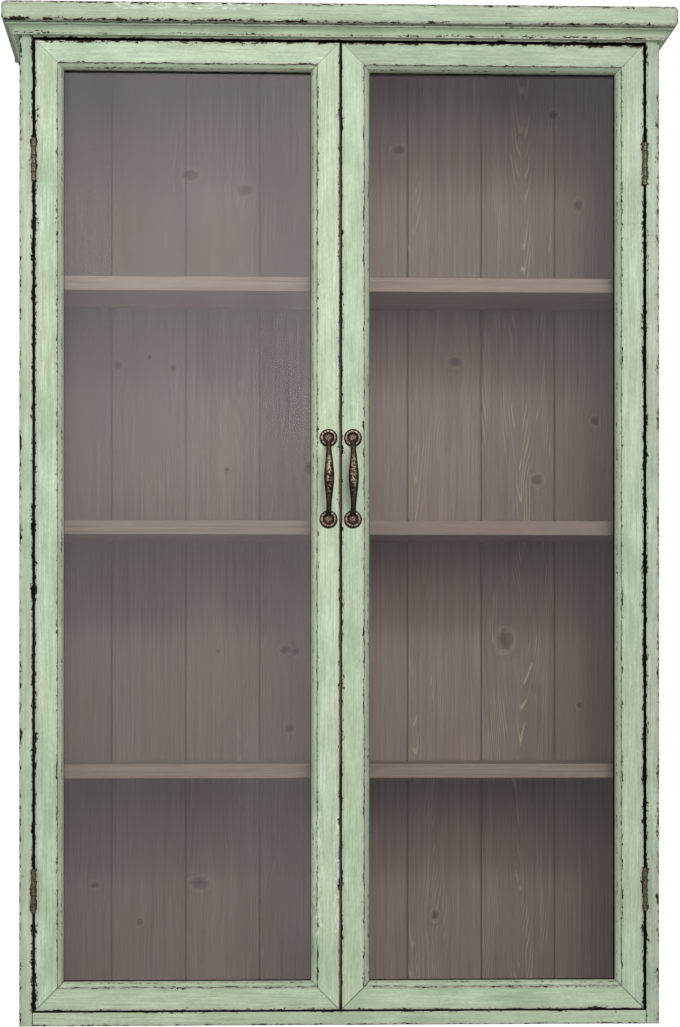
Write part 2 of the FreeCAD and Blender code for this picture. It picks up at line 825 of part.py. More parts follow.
def hinges():
    """Four butt hinges, each a case leaf, a door leaf and a pin, with their screws."""
    case_screws = []
    door_screws = {"left": [], "right": []}
    pin = doc.addObject("Part::Cylinder", "hinge_pin")
    bind(pin, "Radius", s.hinge_pin_radius)
    bind(pin, "Height", s.hinge_length)
    for side_name, side in SIDES:
        x = -hinge_x * side
        case_leaf = hinge_leaf(side_name + "_case_leaf", -side, True)
        door_leaf = hinge_leaf(side_name + "_door_leaf", side, False)
        for level_name, level in hinge_levels.items():
            name = f"{side_name}_{level_name}_hinge"
            node_copy(name + "_case_leaf", case_leaf, x, hinge_y, level)
            node_copy(name + "_door_leaf", door_leaf, x, hinge_y, level)
            node_copy(name + "_pin", pin, x, hinge_y, level)
            face = s.knuckle_radius - s.plate_thick
            for height in hinge_screw_levels:
                spot = (hinge_y + hinge_screw_y, level + height)
                case_screws.append(copy(small_screw, x - face * side, *spot,
                                        ((0, side, 0), (0, 0, 1), (side, 0, 0))))
                door_screws[side_name].append(copy(small_screw, x + face * side, *spot,
                                                   ((0, -side, 0), (0, 0, 1), (-side, 0, 0))))
    return case_screws, door_screws


def bow_pull():
    """A cast bow pull: two dished rosettes joined by a swelling grip."""
    body = new_body("bow_pull")
    wide = s.rosette_radius - s.recess_radius
    rise = s.rosette_height - s.rosette_rim
    half = s.pull_pitch / 2
    for sign in (-1, 1):
        rim = ring(as_size(0), half * sign, s.rosette_radius, ROSETTE_SIDES)
        pad(body, draw(new_sketch(body, "XY"), rim), s.rosette_rim)
        rings = []
        for out, up in DOME_SHARES:
            corners = ring(as_size(0), half * sign, s.recess_radius + wide * out, ROSETTE_SIDES)
            rings.append(draw(new_sketch(body, "XY", s.rosette_rim + rise * up), corners))
        loft(body, rings)
        recess = ring(as_size(0), half * sign, s.recess_radius, ROSETTE_SIDES)
        cut(body, draw(new_sketch(body, "XY", s.rosette_height), recess),
            s.rosette_height - s.recess_floor)
    points = [(half * along, s.pull_standoff * out) for along, out, _ in GRIP_SHARES]
    rings = []
    for index, (y, z) in enumerate(points):
        before = points[max(index - 1, 0)]
        after = points[min(index + 1, len(points) - 1)]
        rise = after[1].value - before[1].value
        run = after[0].value - before[0].value
        tilt = math.degrees(math.atan2(-run, rise))
        sketch = new_sketch(body, "XY", level=z, up=y, tilt=tilt)
        grip_radius = s.grip_diameter * (GRIP_SHARES[index][2] / 2)
        rings.append(draw(sketch, ring(as_size(0), as_size(0), grip_radius, GRIP_SIDES)))
    loft(body, rings)
    spots = [(0, half * sign) for sign in (-1, 1)]
    drill(body, "XY", 0, spots, s.pull_screw_radius, s.rosette_height)
    return body


def pulls():
    """A pull on each door, held by two domed screws."""
    body = bow_pull()
    steps = [(s.pull_screw_radius, s.recess_floor - s.pull_screw_length, s.recess_floor)]
    for out, up in SCREW_DOME_SHARES:
        steps.append((s.pull_screw_head_radius * out, steps[-1][2],
                      s.recess_floor + s.pull_screw_head_height * up))
    domed_screw = turned("pull_screw", steps)
    axes = ((1, 0, 0), (0, 0, 1), (0, -1, 0))
    for side_name, side in SIDES:
        x = -(s.door_gap / 2 + s.pull_inset) * side
        node_copy(side_name + "_pull", body, x, front, s.pull_height, axes)
        heights = [s.pull_height + s.pull_pitch / 2 * sign for sign in (-1, 1)]
        group(side_name + "_pull_screws",
              [copy(domed_screw, x, front, z, axes) for z in heights])


def catches():
    """A magnetic catch under the ceiling for each door; gives back their screws."""
    case = new_body("catch_case")
    block = rectangle(-s.catch_body_length / 2, 0, s.catch_body_length / 2, s.catch_depth)
    pad(case, draw(new_sketch(case, "XY", level=-s.catch_height), block), s.catch_height)
    ears = rectangle(-s.catch_length / 2, 0, s.catch_length / 2, s.catch_depth)
    pad(case, draw(new_sketch(case, "XY", level=-s.catch_ear_thick), ears), s.catch_ear_thick)
    middle = -s.catch_height + s.catch_ear_thick + s.magnet_height / 2
    bed = s.magnet_clearance
    slot = rectangle(-s.magnet_length / 2 - bed, middle - s.magnet_height / 2 - bed,
                     s.magnet_length / 2 + bed, middle + s.magnet_height / 2 + bed)
    cut(case, draw(new_sketch(case, "XZ"), slot), s.magnet_depth + bed)
    places = [(reach * sign, s.catch_depth / 2) for sign, reach in catch_screw_reaches]
    counterbore(case, "XY", -s.catch_ear_thick, places, s.screw_radius,
                s.screw_head_radius, s.screw_head_height, s.catch_ear_thick)
    magnet = new_body("catch_magnet")
    outline = rectangle(-s.magnet_length / 2, 0, s.magnet_length / 2, s.magnet_depth)
    pad(magnet, draw(new_sketch(magnet, "XY"), outline), s.magnet_height)
    y = front + catch_front
    screws = []
    for side_name, side in SIDES:
        x = -s.catch_inset * side
        node_copy(side_name + "_catch_case", case, x, y, ceiling_level)
        node_copy(side_name + "_catch_magnet", magnet, x, y,
                  ceiling_level + middle - s.magnet_height / 2)
        screws += [copy(small_screw, x + along, y + deep, ceiling_level - s.catch_ear_thick,
                        ((1, 0, 0), (0, -1, 0), (0, 0, -1))) for along, deep in places]
    return screws


def strikes(door_screws):
    """A steel plate on the back of each door for the magnet, and its screw."""
    plate = new_body("strike_plate")
    outline = rectangle(-s.strike_length / 2, 0, s.strike_length / 2, s.plate_thick)
    pad(plate, draw(new_sketch(plate, "XY"), outline), s.strike_height)
    counterbore(plate, "XZ", s.plate_thick, [(0, s.strike_height / 2)], s.screw_radius,
                s.screw_head_radius, s.screw_head_height, s.plate_thick)
    y = front + s.door_thick
    level = door_foot + door_height - s.strike_inset - s.strike_height
    for side_name, side in SIDES:
        x = -s.catch_inset * side
        node_copy(side_name + "_strike_plate", plate, x, y, level)
        door_screws[side_name].append(copy(
            small_screw, x, y + s.plate_thick, level + s.strike_height / 2,
            ((1, 0, 0), (0, 0, -1), (0, 1, 0))))


def check_and_write():
    """Stop if anything failed, then write one file for each node."""
    doc.recompute()
    for thing in doc.Objects:
        if {"Invalid", "Error"} & set(thing.State):
            raise RuntimeError(f"{thing.Label} is {thing.State}")
    for piece in nodes:
        if piece.Shape.isNull() or not piece.Shape.isValid():
            raise RuntimeError(f"{piece.Label} has no valid shape")
    os.makedirs("parts", exist_ok=True)
    for piece in nodes:
        piece.Shape.exportStep(f"parts/{piece.Label}.step")
    solids = sum(len(piece.Shape.Solids) for piece in nodes)
    print(f"{len(nodes)} nodes, {solids} solids")


# Places of the small fittings, measured from the front left of the inside.
peg_places = [s.shelf_setback + s.peg_inset, inner_depth - s.peg_inset]
nail_levels = [s.bottom_thick / 2, ceiling_level + s.ceiling_thick / 2]
long_screw_places = [
    (x, y)
    for x in (s.long_screw_inset, inner_width - s.long_screw_inset)
    for y in (s.long_screw_inset, inner_depth - s.long_screw_inset)
]
strike_from_edge = s.catch_inset - s.door_gap / 2
catch_front = s.door_thick + s.plate_thick + s.catch_gap
catch_screw_y = catch_front + s.catch_depth / 2
catch_screw_reaches = [(sign, (s.catch_length + s.catch_body_length) / 4) for sign in (-1, 1)]

side_panel("left_side_panel", 1)
side_panel("right_side_panel", -1)
cross_board("bottom_board", s.bottom_thick, 0)
ceiling_board()
top_board()
crown()
back_boards()
shelves()
shelf_pegs()
dowels()
back_nails()
top_board_screws()
small_screw = screw("small_screw", s.screw_radius, s.screw_length,
                    s.screw_head_radius, s.screw_head_height)
case_screws, door_screws = hinges()
case_screws += catches()
strikes(door_screws)
group("case_screws", case_screws)
for side_name, side in SIDES:
    door(side_name, side)
    group(side_name + "_door_screws", door_screws[side_name])
pulls()
check_and_write()
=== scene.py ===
import itertools
import json
import math
import zlib
from collections import namedtuple
from types import SimpleNamespace

import bpy
import numpy as np
from bpy.props import FloatProperty, FloatVectorProperty, PointerProperty
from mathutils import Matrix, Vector


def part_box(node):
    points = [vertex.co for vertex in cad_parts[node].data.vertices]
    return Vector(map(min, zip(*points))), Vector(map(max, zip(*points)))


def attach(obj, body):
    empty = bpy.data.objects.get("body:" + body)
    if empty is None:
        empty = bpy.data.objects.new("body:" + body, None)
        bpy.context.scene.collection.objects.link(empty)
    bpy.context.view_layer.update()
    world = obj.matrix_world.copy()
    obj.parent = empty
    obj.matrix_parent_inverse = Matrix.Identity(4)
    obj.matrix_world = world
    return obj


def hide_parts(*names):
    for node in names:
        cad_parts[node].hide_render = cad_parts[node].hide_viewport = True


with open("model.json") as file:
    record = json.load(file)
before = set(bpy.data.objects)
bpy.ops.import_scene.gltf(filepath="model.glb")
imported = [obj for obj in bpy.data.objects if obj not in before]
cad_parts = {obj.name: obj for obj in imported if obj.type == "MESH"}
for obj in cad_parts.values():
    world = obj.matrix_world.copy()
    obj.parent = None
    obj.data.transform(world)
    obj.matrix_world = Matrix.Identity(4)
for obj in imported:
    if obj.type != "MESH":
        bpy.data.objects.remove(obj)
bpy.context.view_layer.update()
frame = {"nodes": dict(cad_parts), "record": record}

bl_info = {
    "name": "Glazed wall cupboard",
    "version": (1, 0, 0),
    "blender": (4, 5, 0),
    "location": "3D View > Sidebar > Cupboard",
    "description": "Builds a worn painted wall cupboard with glazed doors around its frame",
    "category": "Add Mesh",
}

# Lengths inside the mesh functions are millimetres until a mesh is written.
MM = 0.001
SIDES = (("left", 1), ("right", -1))
LEVELS = ("lower", "upper")
UP_AXES = ((1, 0, 0), (0, 1, 0), (0, 0, 1))
RIGHT_AXES = ((0, 1, 0), (0, 0, 1), (1, 0, 0))

# How much paint an arris keeps, from one that is chipped nearly all along to one
# with a mark here and there: the millimetres that a chip's reach is short of it.
RUINED, HEAVY, SOME, SLIGHT, RARE = -0.7, 0.0, 0.8, 1.6, 2.4

# Which finish a side of a section takes, by its place among the wooden materials.
PAINT, STAIN, BARE = 0, 1, 2
WOODS = ("paint", "stain", "bare")

# The photograph: its size, the camera's focal length and where the lens points,
# in pixels, and the camera's place, heading and tilt.
PHOTO_WIDTH, PHOTO_HEIGHT = 680, 1027
FOCAL_PIXELS = 3349
AIM_X_PIXEL, AIM_Y_PIXEL = 379.6, 680
CAMERA_PLACE = Vector((-0.145, -4.071, 0.397))
CAMERA_YAW = math.radians(2.77)
CAMERA_PITCH = math.radians(0.14)
SENSOR = 36.0

# Where the lamps point, in metres.
LIT_PLACE = Vector((0, -0.1, 0.65))

# A value on a point that is further off than any mark reaches.
FAR = 99.0

# How far from a worn corner the loops run that carry its wear across a side.
WEAR_LOOPS = (1.6, 4.0, 9.0)

# How far a nick reaches from its arris, how fast nicks and the hinge leaves' recesses
# uncover the wood, and how far beside a recess they do.
NICK_REACH, BARING, RECESS_REACH = 2.4, 2.2, 9

# The strip along a door's outer edge, and along the case's, that takes the painted shade of the
# gap.
EDGE_STRIP, EDGE_LIP, EDGE_DEPTH = 0.6, 0.6, 1.3

# How far the paint of the case's boards runs back from the front.
PAINTED_DEPTH = 24

# How far the rebate covers the glass along its edges, and how wide a bead is.
GLASS_COVERED, BEAD_WIDTH = 5.9, 6.85

# The clearance between parts that lie against each other.
PLAY = 0.15

# The wear of a door's members, the back boards' figures, shades and hearts from left
# to right, and the shades of pieces that are lighter or darker than most. The shades are
# partly the wood's and the paint's own differences and partly painted light: the right-hand
# pieces are darker, the ceiling board is darkened as painted shadow under the crown, and
# the shelves are lighter.
WEARS = {"hinge_stile": -0.3, "top_rail": -0.7, "bottom_rail": 0.5, "meeting_stile": 0.5}
BOARD_TONES = (0.4, 0.2, 0.6, 0.7, 0.3, 0.7, 0.95, 0.4)
BOARD_SHADES = (0.86, 1.0, 1.03, 0.98, 0.95, 0.98, 0.88, 0.93)
BOARD_HEARTS = (-60, 130, 20, -50, 90, -40, 0, -55)
SHADES = {"left_side_panel": 0.95, "right_side_panel": 0.85, "top_board": 0.82,
          "right_top_rail": 0.8, "left_bottom_rail": 0.99, "right_bottom_rail": 0.97,
          "right_hinge_stile": 0.92, "left_meeting_stile": 1.07, "bottom_board": 0.94,
          "ceiling_board": 0.6, "shelf_upper": 1.5, "shelf_middle": 1.19, "shelf_lower": 1.18}

# The knots of the back boards: where each shows in the photograph, its radius in
# millimetres and how many times as wide as tall it is.
KNOT_PIXELS = (
    (190, 175, 10.5, 1.8), (245, 190, 11.0, 1.3), (117, 365, 7.5, 1.1), (227, 470, 5.0, 1.0),
    (310, 468, 9.5, 0.9), (285, 650, 7.5, 1.2), (553, 115, 7.0, 1.0), (399, 150, 8.5, 1.5),
    (595, 421, 7.0, 0.9), (537, 480, 8.5, 1.1), (505, 640, 13.5, 0.75), (580, 705, 5.5, 1.0),
    (435, 915, 7.0, 0.7), (200, 883, 11.0, 1.6), (140, 922, 5.5, 1.0), (578, 205, 8.0, 0.8),
    (455, 362, 9.0, 1.6), (218, 652, 3.8, 1.0), (150, 357, 4.2, 1.0), (290, 728, 7.5, 1.0),
    (95, 885, 6.0, 1.3), (412, 780, 3.6, 1.0), (173, 368, 6.0, 1.0), (296, 652, 6.0, 1.0),
)

# The line of a pull's grip: how far along, how far out and how wide, as shares of
# half the pitch, the standoff and the grip's width.
GRIP_LINE = np.array((
    (-0.85, 0.02, 0.74), (-0.83, 0.12, 0.62), (-0.795, 0.37, 0.53), (-0.70, 0.70, 0.51),
    (-0.52, 0.92, 0.59), (-0.24, 1.0, 0.86), (0.03, 1.0, 1.0), (0.30, 0.99, 0.84),
    (0.55, 0.90, 0.62), (0.73, 0.66, 0.5), (0.802, 0.37, 0.52), (0.832, 0.12, 0.64),
    (0.85, 0.02, 0.76)))

# How many hammer marks a pull's grip has.
HAMMER_MARKS = 420

# Where the photograph shows white rubs: columns on the top board, rows on a stile.
TOP_RUB_PIXELS, STILE_RUB_PIXELS = (100, 265), (960, 790)

# A corner of a section. Its pace narrows the chips along it, and its spacing
# divides the side that follows.
Corner = namedtuple("Corner", "u v radius wear crease finish spacing pace",
                    defaults=(0.0, None, False, PAINT, 0.0, 1.0))

# A part of a piece, with a finish for each face and named values for each point.
Part = namedtuple("Part", "points faces finishes values")


def from_hex(code):
    """The three shares of an sRGB hex colour."""
    return [int(code[place:place + 2], 16) / 255 for place in (1, 3, 5)]


def linear(tint):
    """An sRGB colour, as hex or as shares, as linear RGBA."""
    shares = from_hex(tint) if isinstance(tint, str) else tint
    return (*(s / 12.92 if s <= 0.04045 else ((s + 0.055) / 1.055) ** 2.4 for s in shares), 1.0)


def seed(name):
    """A steady random generator for a piece, from its name."""
    return np.random.default_rng(zlib.crc32(name.encode()))


def node_box(name):
    """The corners of a frame node in millimetres."""
    low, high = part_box(name)
    return low / MM, high / MM


def body_of(node):
    """The body that a frame node belongs to."""
    bodies = frame["record"]["behaviour"]["bodies"]
    return next(body for body, members in bodies.items() if node in members)


# Meshes

def write_mesh(name, points, faces, finishes, places=None, values=None, sharp=35):
    """Make an object from points in millimetres, with the place of each face's finish."""
    mesh = bpy.data.meshes.new(name)
    mesh.from_pydata((np.asarray(points, float) * MM).tolist(), [], faces)
    for finish in finishes:
        mesh.materials.append(finish)
    if places is not None:
        mesh.polygons.foreach_set("material_index", np.asarray(places, np.int32))
    for key, data in (values or {}).items():
        data = np.asarray(data, np.float32)
        kind = "FLOAT_VECTOR" if data.ndim == 2 else "FLOAT"
        attribute = mesh.attributes.new(key, kind, "POINT")
        attribute.data.foreach_set("vector" if data.ndim == 2 else "value", data.ravel())
    mesh.shade_smooth()
    mesh.set_sharp_from_angle(angle=math.radians(sharp))
    mesh.update()
    made = bpy.data.objects.new(name, mesh)
    bpy.context.scene.collection.objects.link(made)
    return made


def dress(node, parts, kinds=WOODS, sharp=35):
    """Join parts into the piece that stands for a frame node, on its body and with its slot."""
    faces, start = [], 0
    for part in parts:
        faces += [[corner + start for corner in face] for face in part.faces]
        start += len(part.points)
    piece = write_mesh(
        node + "_visual", np.concatenate([part.points for part in parts]), faces,
        [materials()[kind] for kind in kinds], sum((part.finishes for part in parts), []),
        {key: np.concatenate([part.values[key] for part in parts]) for key in parts[0].values},
        sharp)
    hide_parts(node)
    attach(piece, body_of(node))


def tube_faces(rows, around):
    """The quads between the rings of a tube, and its two ends."""
    index = np.arange(rows * around).reshape(rows, around)
    follow = np.roll(index, -1, 1)
    quads = np.stack((index[:-1], follow[:-1], follow[1:], index[1:]), -1).reshape(-1, 4)
    return quads, list(index[0][::-1]), list(index[-1])


def plain_values(points, lift):
    """The values of a small part that has no crease."""
    return {"grain": points, "lift": lift, "crease": np.full(len(points), FAR)}


def arc(start, end, radius, steps):
    """Corners along an arc between two points; a positive radius bulges to the right."""
    start, end = np.array(start, float), np.array(end, float)
    half = np.linalg.norm(end - start) / 2
    rise = math.sqrt(max(radius * radius - half * half, 0.0))
    left = np.array((start[1] - end[1], end[0] - start[0])) / (half * 2)
    centre = (start + end) / 2 + left * math.copysign(rise, radius)
    first = math.atan2(*(start - centre)[::-1])
    last = math.atan2(*(end - centre)[::-1])
    turn = (last - first + math.pi) % math.tau - math.pi
    angles = [first + turn * step / steps for step in range(1, steps)]
    return [tuple(centre + abs(radius) * np.array((math.cos(a), math.sin(a)))) for a in angles]


def share(value, start, end):
    """How far a value has come from start to end, from 0 to 1."""
    return np.clip((value - start) / (end - start), 0, 1)


def sides_at(corners, index):
    """The directions from a corner to the ones before and after it, and the gap to the latter."""
    before, here, after = (np.array(corners[near % len(corners)][:2])
                           for near in (index - 1, index, index + 1))
    gap = np.linalg.norm(after - here)
    return (before - here) / np.linalg.norm(before - here), (after - here) / gap, gap


def divide(corners):
    """Round a section's corners and divide its sides where wear needs it.

    Gives, for every point of the outline, its place, the finish of the side
    that follows, the worn corner that is nearest, how far off that is with and
    without its wear, and how far the nearest crease is.
    """
    spots, finishes, marks = [], [], []
    for index, corner in enumerate(corners):
        here = np.array((corner.u, corner.v))
        before, after, gap = sides_at(corners, index)
        for turn in (0, 0.25, 0.5, 0.75, 1) if corner.radius else (0.5,):
            spots.append(here + corner.radius * (before * (1 - turn) ** 2 + after * turn ** 2))
            marks.append(index if turn == 0.5 else None)
        following = corners[(index + 1) % len(corners)]
        run = gap - corner.radius - following.radius
        loops = [d for d in WEAR_LOOPS if d * 2.4 < run]
        steps = max(int(run / corner.spacing), 1) if corner.spacing else 1
        inner = {run * step / steps for step in range(1, steps)}
        inner.update(loops if corner.wear is not None else [])
        inner.update([run - d for d in loops] if following.wear is not None else [])
        start = here + after * corner.radius
        spots += [start + after * distance for distance in sorted(inner)]
        marks += [None] * len(inner)
        finishes += [corner.finish] * (len(spots) - len(finishes))
    # Distances are measured along the outline, the shorter way round.
    spots = np.array(spots)
    runs = np.linalg.norm(np.roll(spots, -1, 0) - spots, axis=1)
    along = np.concatenate(([0], np.cumsum(runs)[:-1]))
    reach, plain, crease = (np.full(len(spots), FAR) for _ in range(3))
    nearest = np.full(len(spots), -1)
    for place, mark in zip(along, marks):
        if mark is None:
            continue
        distance = np.abs(along - place)
        distance = np.minimum(distance, runs.sum() - distance)
        if corners[mark].crease:
            crease = np.minimum(crease, distance)
        if corners[mark].wear is not None:
            here = distance * corners[mark].pace + corners[mark].wear
            closer = here < reach
            reach[closer], plain[closer], nearest[closer] = here[closer], distance[closer], mark
    return spots, finishes, nearest, plain, reach, crease


def nicks(dice, stations, wear):
    """How deep an arris is dented at each station, in millimetres."""
    # They are 6 to 22 mm long, and a heavily worn arris has one about every 26 mm.
    depth = np.zeros(len(stations))
    length = stations[-1] - stations[0]
    for _ in range(int(length / (26 + 22 * wear))):
        centre = dice.uniform(stations[0], stations[-1])
        half = dice.uniform(3.0, 11.0)
        deep = dice.uniform(0.12, 0.75) * (1 - wear / 4)
        shape = np.clip(1 - ((stations - centre) / half) ** 2, 0, 1)
        depth = np.maximum(depth, deep * shape * (0.7 + 0.3 * dice.random(len(stations))))
    return depth


def strip_part(name, corners, origin, axes, length, mitres=(0, 0), step=4.0,
               notches=(), ease=0.25, end_wear=None, gap=None, shade=1.0, tone=None):
    """A worn strip of wood with the given section, as a part.

    axes say where the section's own u and v and the strip's length point.
    mitres are how far each end runs back for each millimetre of u, and notches
    are (from, to, depth, width) for hinge leaves let into the u = 0 edge. ease
    rounds the ends, and end_wear gives a rectangular end worn arrises. gap gives,
    from u and v, how deep a point lies in the gap beside a door. shade scales the
    piece's colour, and tone picks its figure.
    """
    dice = seed(name)
    spots, finishes, nearest, plain, reach, crease = divide(corners)
    near_end = [ease * way for way in (0, 0.1, 0.35, 0.65, 1)]
    near_end += [ease + 1.6, ease + 4] if end_wear is not None else []
    inner = np.arange(step, length - step / 2, step)
    cuts = [t + nudge for notch in notches for t in notch[:2] for nudge in (-0.01, 0.01)]
    stations = np.array(sorted({*near_end, *(length - e for e in near_end), *inner, *cuts}))
    u, v, worn = (np.repeat(row[None, :], len(stations), 0) for row in (*spots.T, reach))
    # Nicks push the points beside a worn arris into the wood.
    for mark in sorted(set(nearest) - {-1}):
        before, after, _ = sides_at(corners, mark)
        inward = (before + after) / max(np.linalg.norm(before + after), 0.01)
        depth = nicks(dice, stations, corners[mark].wear)[:, None]
        near = (nearest == mark) * np.clip(1 - plain / NICK_REACH, 0, 1)
        u += depth * near * inward[0]
        v += depth * near * inward[1]
        worn -= depth * (nearest == mark) * BARING
    # Hinge leaves are let in, and the paint has worn away along their recesses' edges.
    for low, high, deep, wide in notches:
        inside = ((stations > low) & (stations < high))[:, None]
        mask = inside & ((spots[:, 0] < deep) & (spots[:, 1] < wide + 0.005))
        u[mask] = deep
        v[mask] = np.clip(v[mask], 0.0, wide)
        beside = inside & (spots < RECESS_REACH).all(1)
        worn = np.where(beside, np.minimum(worn, np.abs(u - deep) * BARING + v - 1.4), worn)
    # The rings next to the ends shrink, which rounds the ends' edges.
    tangent = np.roll(spots, -1, 0) - np.roll(spots, 1, 0)
    tangent /= np.linalg.norm(tangent, axis=1)[:, None]
    off = np.minimum(stations, length - stations)[:, None]
    shrink = ease - np.sqrt(ease ** 2 - np.clip(ease - off, 0, ease) ** 2)
    u -= shrink * tangent[:, 1]
    v += shrink * tangent[:, 0]
    # An end that shows has rings of its own, which carry wear in from its edges.
    if end_wear is not None:
        worn = np.minimum(worn, off + end_wear)
        low, high = spots.min(0), spots.max(0)
        middle = (low + high) / 2
        for inset in (1.6, 4.0, 8.0):
            least = np.minimum(low + ease + inset, middle)
            most = np.maximum(high - ease - inset, middle)
            level = np.minimum(inset, (high - low).min() / 2 - ease)
            row = (*np.clip(spots, least, most).T, np.full(len(spots), level + end_wear))
            for end in (0, 1):
                u, v, worn = (np.insert(old, end * len(u), new, 0)
                              for old, new in zip((u, v, worn), row))
            stations = np.concatenate(([0.0], stations, [length]))
    w = mitres[0] * u
    w = w + (length - mitres[1] * u - w) * (stations / length)[:, None]
    axes = np.array(axes, float)
    points = np.array(origin) + np.stack((u, v, w), -1) @ axes
    rows, around = u.shape
    quads, first, last = tube_faces(rows, around)
    if np.dot(np.cross(axes[0], axes[1]), axes[2]) < 0:
        quads, first, last = quads[:, ::-1], first[::-1], last[::-1]
    face_finishes = finishes * (rows - 1) + [finishes[0]] * 2
    if end_wear is not None:
        cap = [PAINT] * (3 * around)
        face_finishes = cap + finishes * (rows - 7) + cap + [PAINT] * 2
    grain = np.stack((u, v, w), -1) + dice.uniform(0, 900, 3)
    seam = np.minimum(stations, length - stations)[:, None] + np.zeros_like(u)
    values = {
        "grain": grain.reshape(-1, 3),
        "arris": worn.ravel(),
        "near": np.tile(plain, rows),
        "gap": (gap(u, v) if gap else np.zeros_like(u)).ravel(),
        "crease": np.tile(crease, rows),
        "seam": seam.ravel() if all(mitres) else np.full(u.size, FAR),
        "tone": np.full(u.size, dice.random() if tone is None else tone),
        "shade": np.full(u.size, shade),
        "scuff": np.zeros(u.size), "bend": np.zeros(u.size), "knot": np.full(u.size, 9.0),
        "heart": u.ravel() - 150,
    }
    return Part(points.reshape(-1, 3), quads.tolist() + [first, last], face_finishes, values)


def turned_part(profile, origin, axes, sides=24, slot=None):
    """A round part about an axis, from (radius, height) points, foot first.

    slot is the heading, width and depth of a screwdriver slot across its top.
    """
    angles = np.arange(sides) / sides * math.tau
    points = np.concatenate([np.stack((radius * np.cos(angles), radius * np.sin(angles),
                                       np.full(sides, float(height))), -1)
                             for radius, height in profile])
    if slot:
        turn, wide, deep = slot
        floor = profile[-1][1] - deep
        across = points[:, 0] * math.sin(turn) - points[:, 1] * math.cos(turn)
        points[(points[:, 2] > floor) & (np.abs(across) < wide / 2), 2] = floor
    quads, first, last = tube_faces(len(profile), sides)
    faces = quads.tolist() + [first, last]
    placed = np.array(origin) + points @ np.array(axes, float)
    return Part(placed, faces, [0] * len(faces), plain_values(points, points[:, 2].copy()))


def block_part(low, high, ease=0.3):
    """A plain block with eased edges, as a part."""
    low, high = np.array(low, float), np.array(high, float)
    ease = min(ease, (high - low).min() / 3)
    lines = np.stack((low, low + ease, high - ease, high))
    spots, points, faces = {}, [], []

    def spot(key):
        """The number of a grid point, made where it is first asked for."""
        if key not in spots:
            place = np.array([lines[number][axis] for axis, number in enumerate(key)])
            ends = [number in (0, 3) for number in key]
            pull = (0, 0, 0.29, 0.42)[sum(ends)] * ease
            middle = (low + high) / 2
            place += np.where(ends, np.sign(middle - place) * pull, 0)
            spots[key] = len(points)
            points.append(place)
        return spots[key]

    for axis, side, i, j in itertools.product(range(3), (0, 3), range(3), range(3)):
        quad = []
        for key in ([i, j], [i + 1, j], [i + 1, j + 1], [i, j + 1]):
            key.insert(axis, side)
            quad.append(spot(tuple(key)))
        outward = (side == 3) != (axis == 1)
        faces.append(quad if outward else quad[::-1])
    points = np.array(points)
    return Part(points, faces, [0] * len(faces), plain_values(points, np.zeros(len(points))))


# Materials

SMOOTH = {"interpolation_type": "SMOOTHSTEP"}


class Recipe:
    """A material or a world being put together around its shader."""

    def __init__(self, owner):
        owner.use_nodes = True
        self.owner, self.tree = owner, owner.node_tree
        self.shader = next(node for node in self.tree.nodes
                           if node.type in ("BSDF_PRINCIPLED", "BACKGROUND"))

    def add(self, kind, *inputs, out="", **named):
        """Add a node with its settings and links, and give one of its outputs.

        The inputs take its sockets in order. A name with a capital is a socket's,
        and any other is a setting's.
        """
        made = self.tree.nodes.new("ShaderNode" + kind)
        for name, value in named.items():
            if name[0].islower():
                setattr(made, name, value)
        for socket, value in zip([s for s in made.inputs if s.enabled], inputs):
            self.feed(socket, value)
        self.set(made, named)
        return next(s for s in made.outputs if s.enabled and s.name.startswith(out))

    def set(self, node, named):
        """Link or set the sockets of a node whose names are given, without their spaces."""
        for name, value in named.items():
            if name[0].isupper():
                self.feed(node.inputs[name.replace("_", " ")], value)

    def feed(self, socket, value):
        """Link or set a socket."""
        if isinstance(value, bpy.types.NodeSocket):
            self.tree.links.new(value, socket)
        else:
            socket.default_value = value

    def marks(self, vector, across, along, detail=2.0, roughness=0.5, **named):
        """Uneven marks that are this wide across the grain and long along it, in millimetres."""
        scaled = self.add("VectorMath", vector, (1 / across, 1 / across, 1 / along),
                          operation="MULTIPLY")
        return self.add("TexNoise", scaled, 1.0, detail, roughness, **named)

    def both(self, *rows):
        """Two smooth ramps multiplied, each from a value, its span and what its ends give."""
        ramps = [self.add("MapRange", *row, **SMOOTH) for row in rows]
        return self.add("Math", *ramps, operation="MULTIPLY")

    def finish(self, **inputs):
        """Link or set the shader's own sockets."""
        self.set(self.shader, inputs)
        return self.owner


def start_material(name, *values):
    """A recipe, its grain and the values on the points that it reads."""
    r = Recipe(bpy.data.materials.new(name))
    return (r, r.add("Attribute", attribute_name="grain", out="Vector"),
            *(r.add("Attribute", attribute_name=value, out="Fac") for value in values))


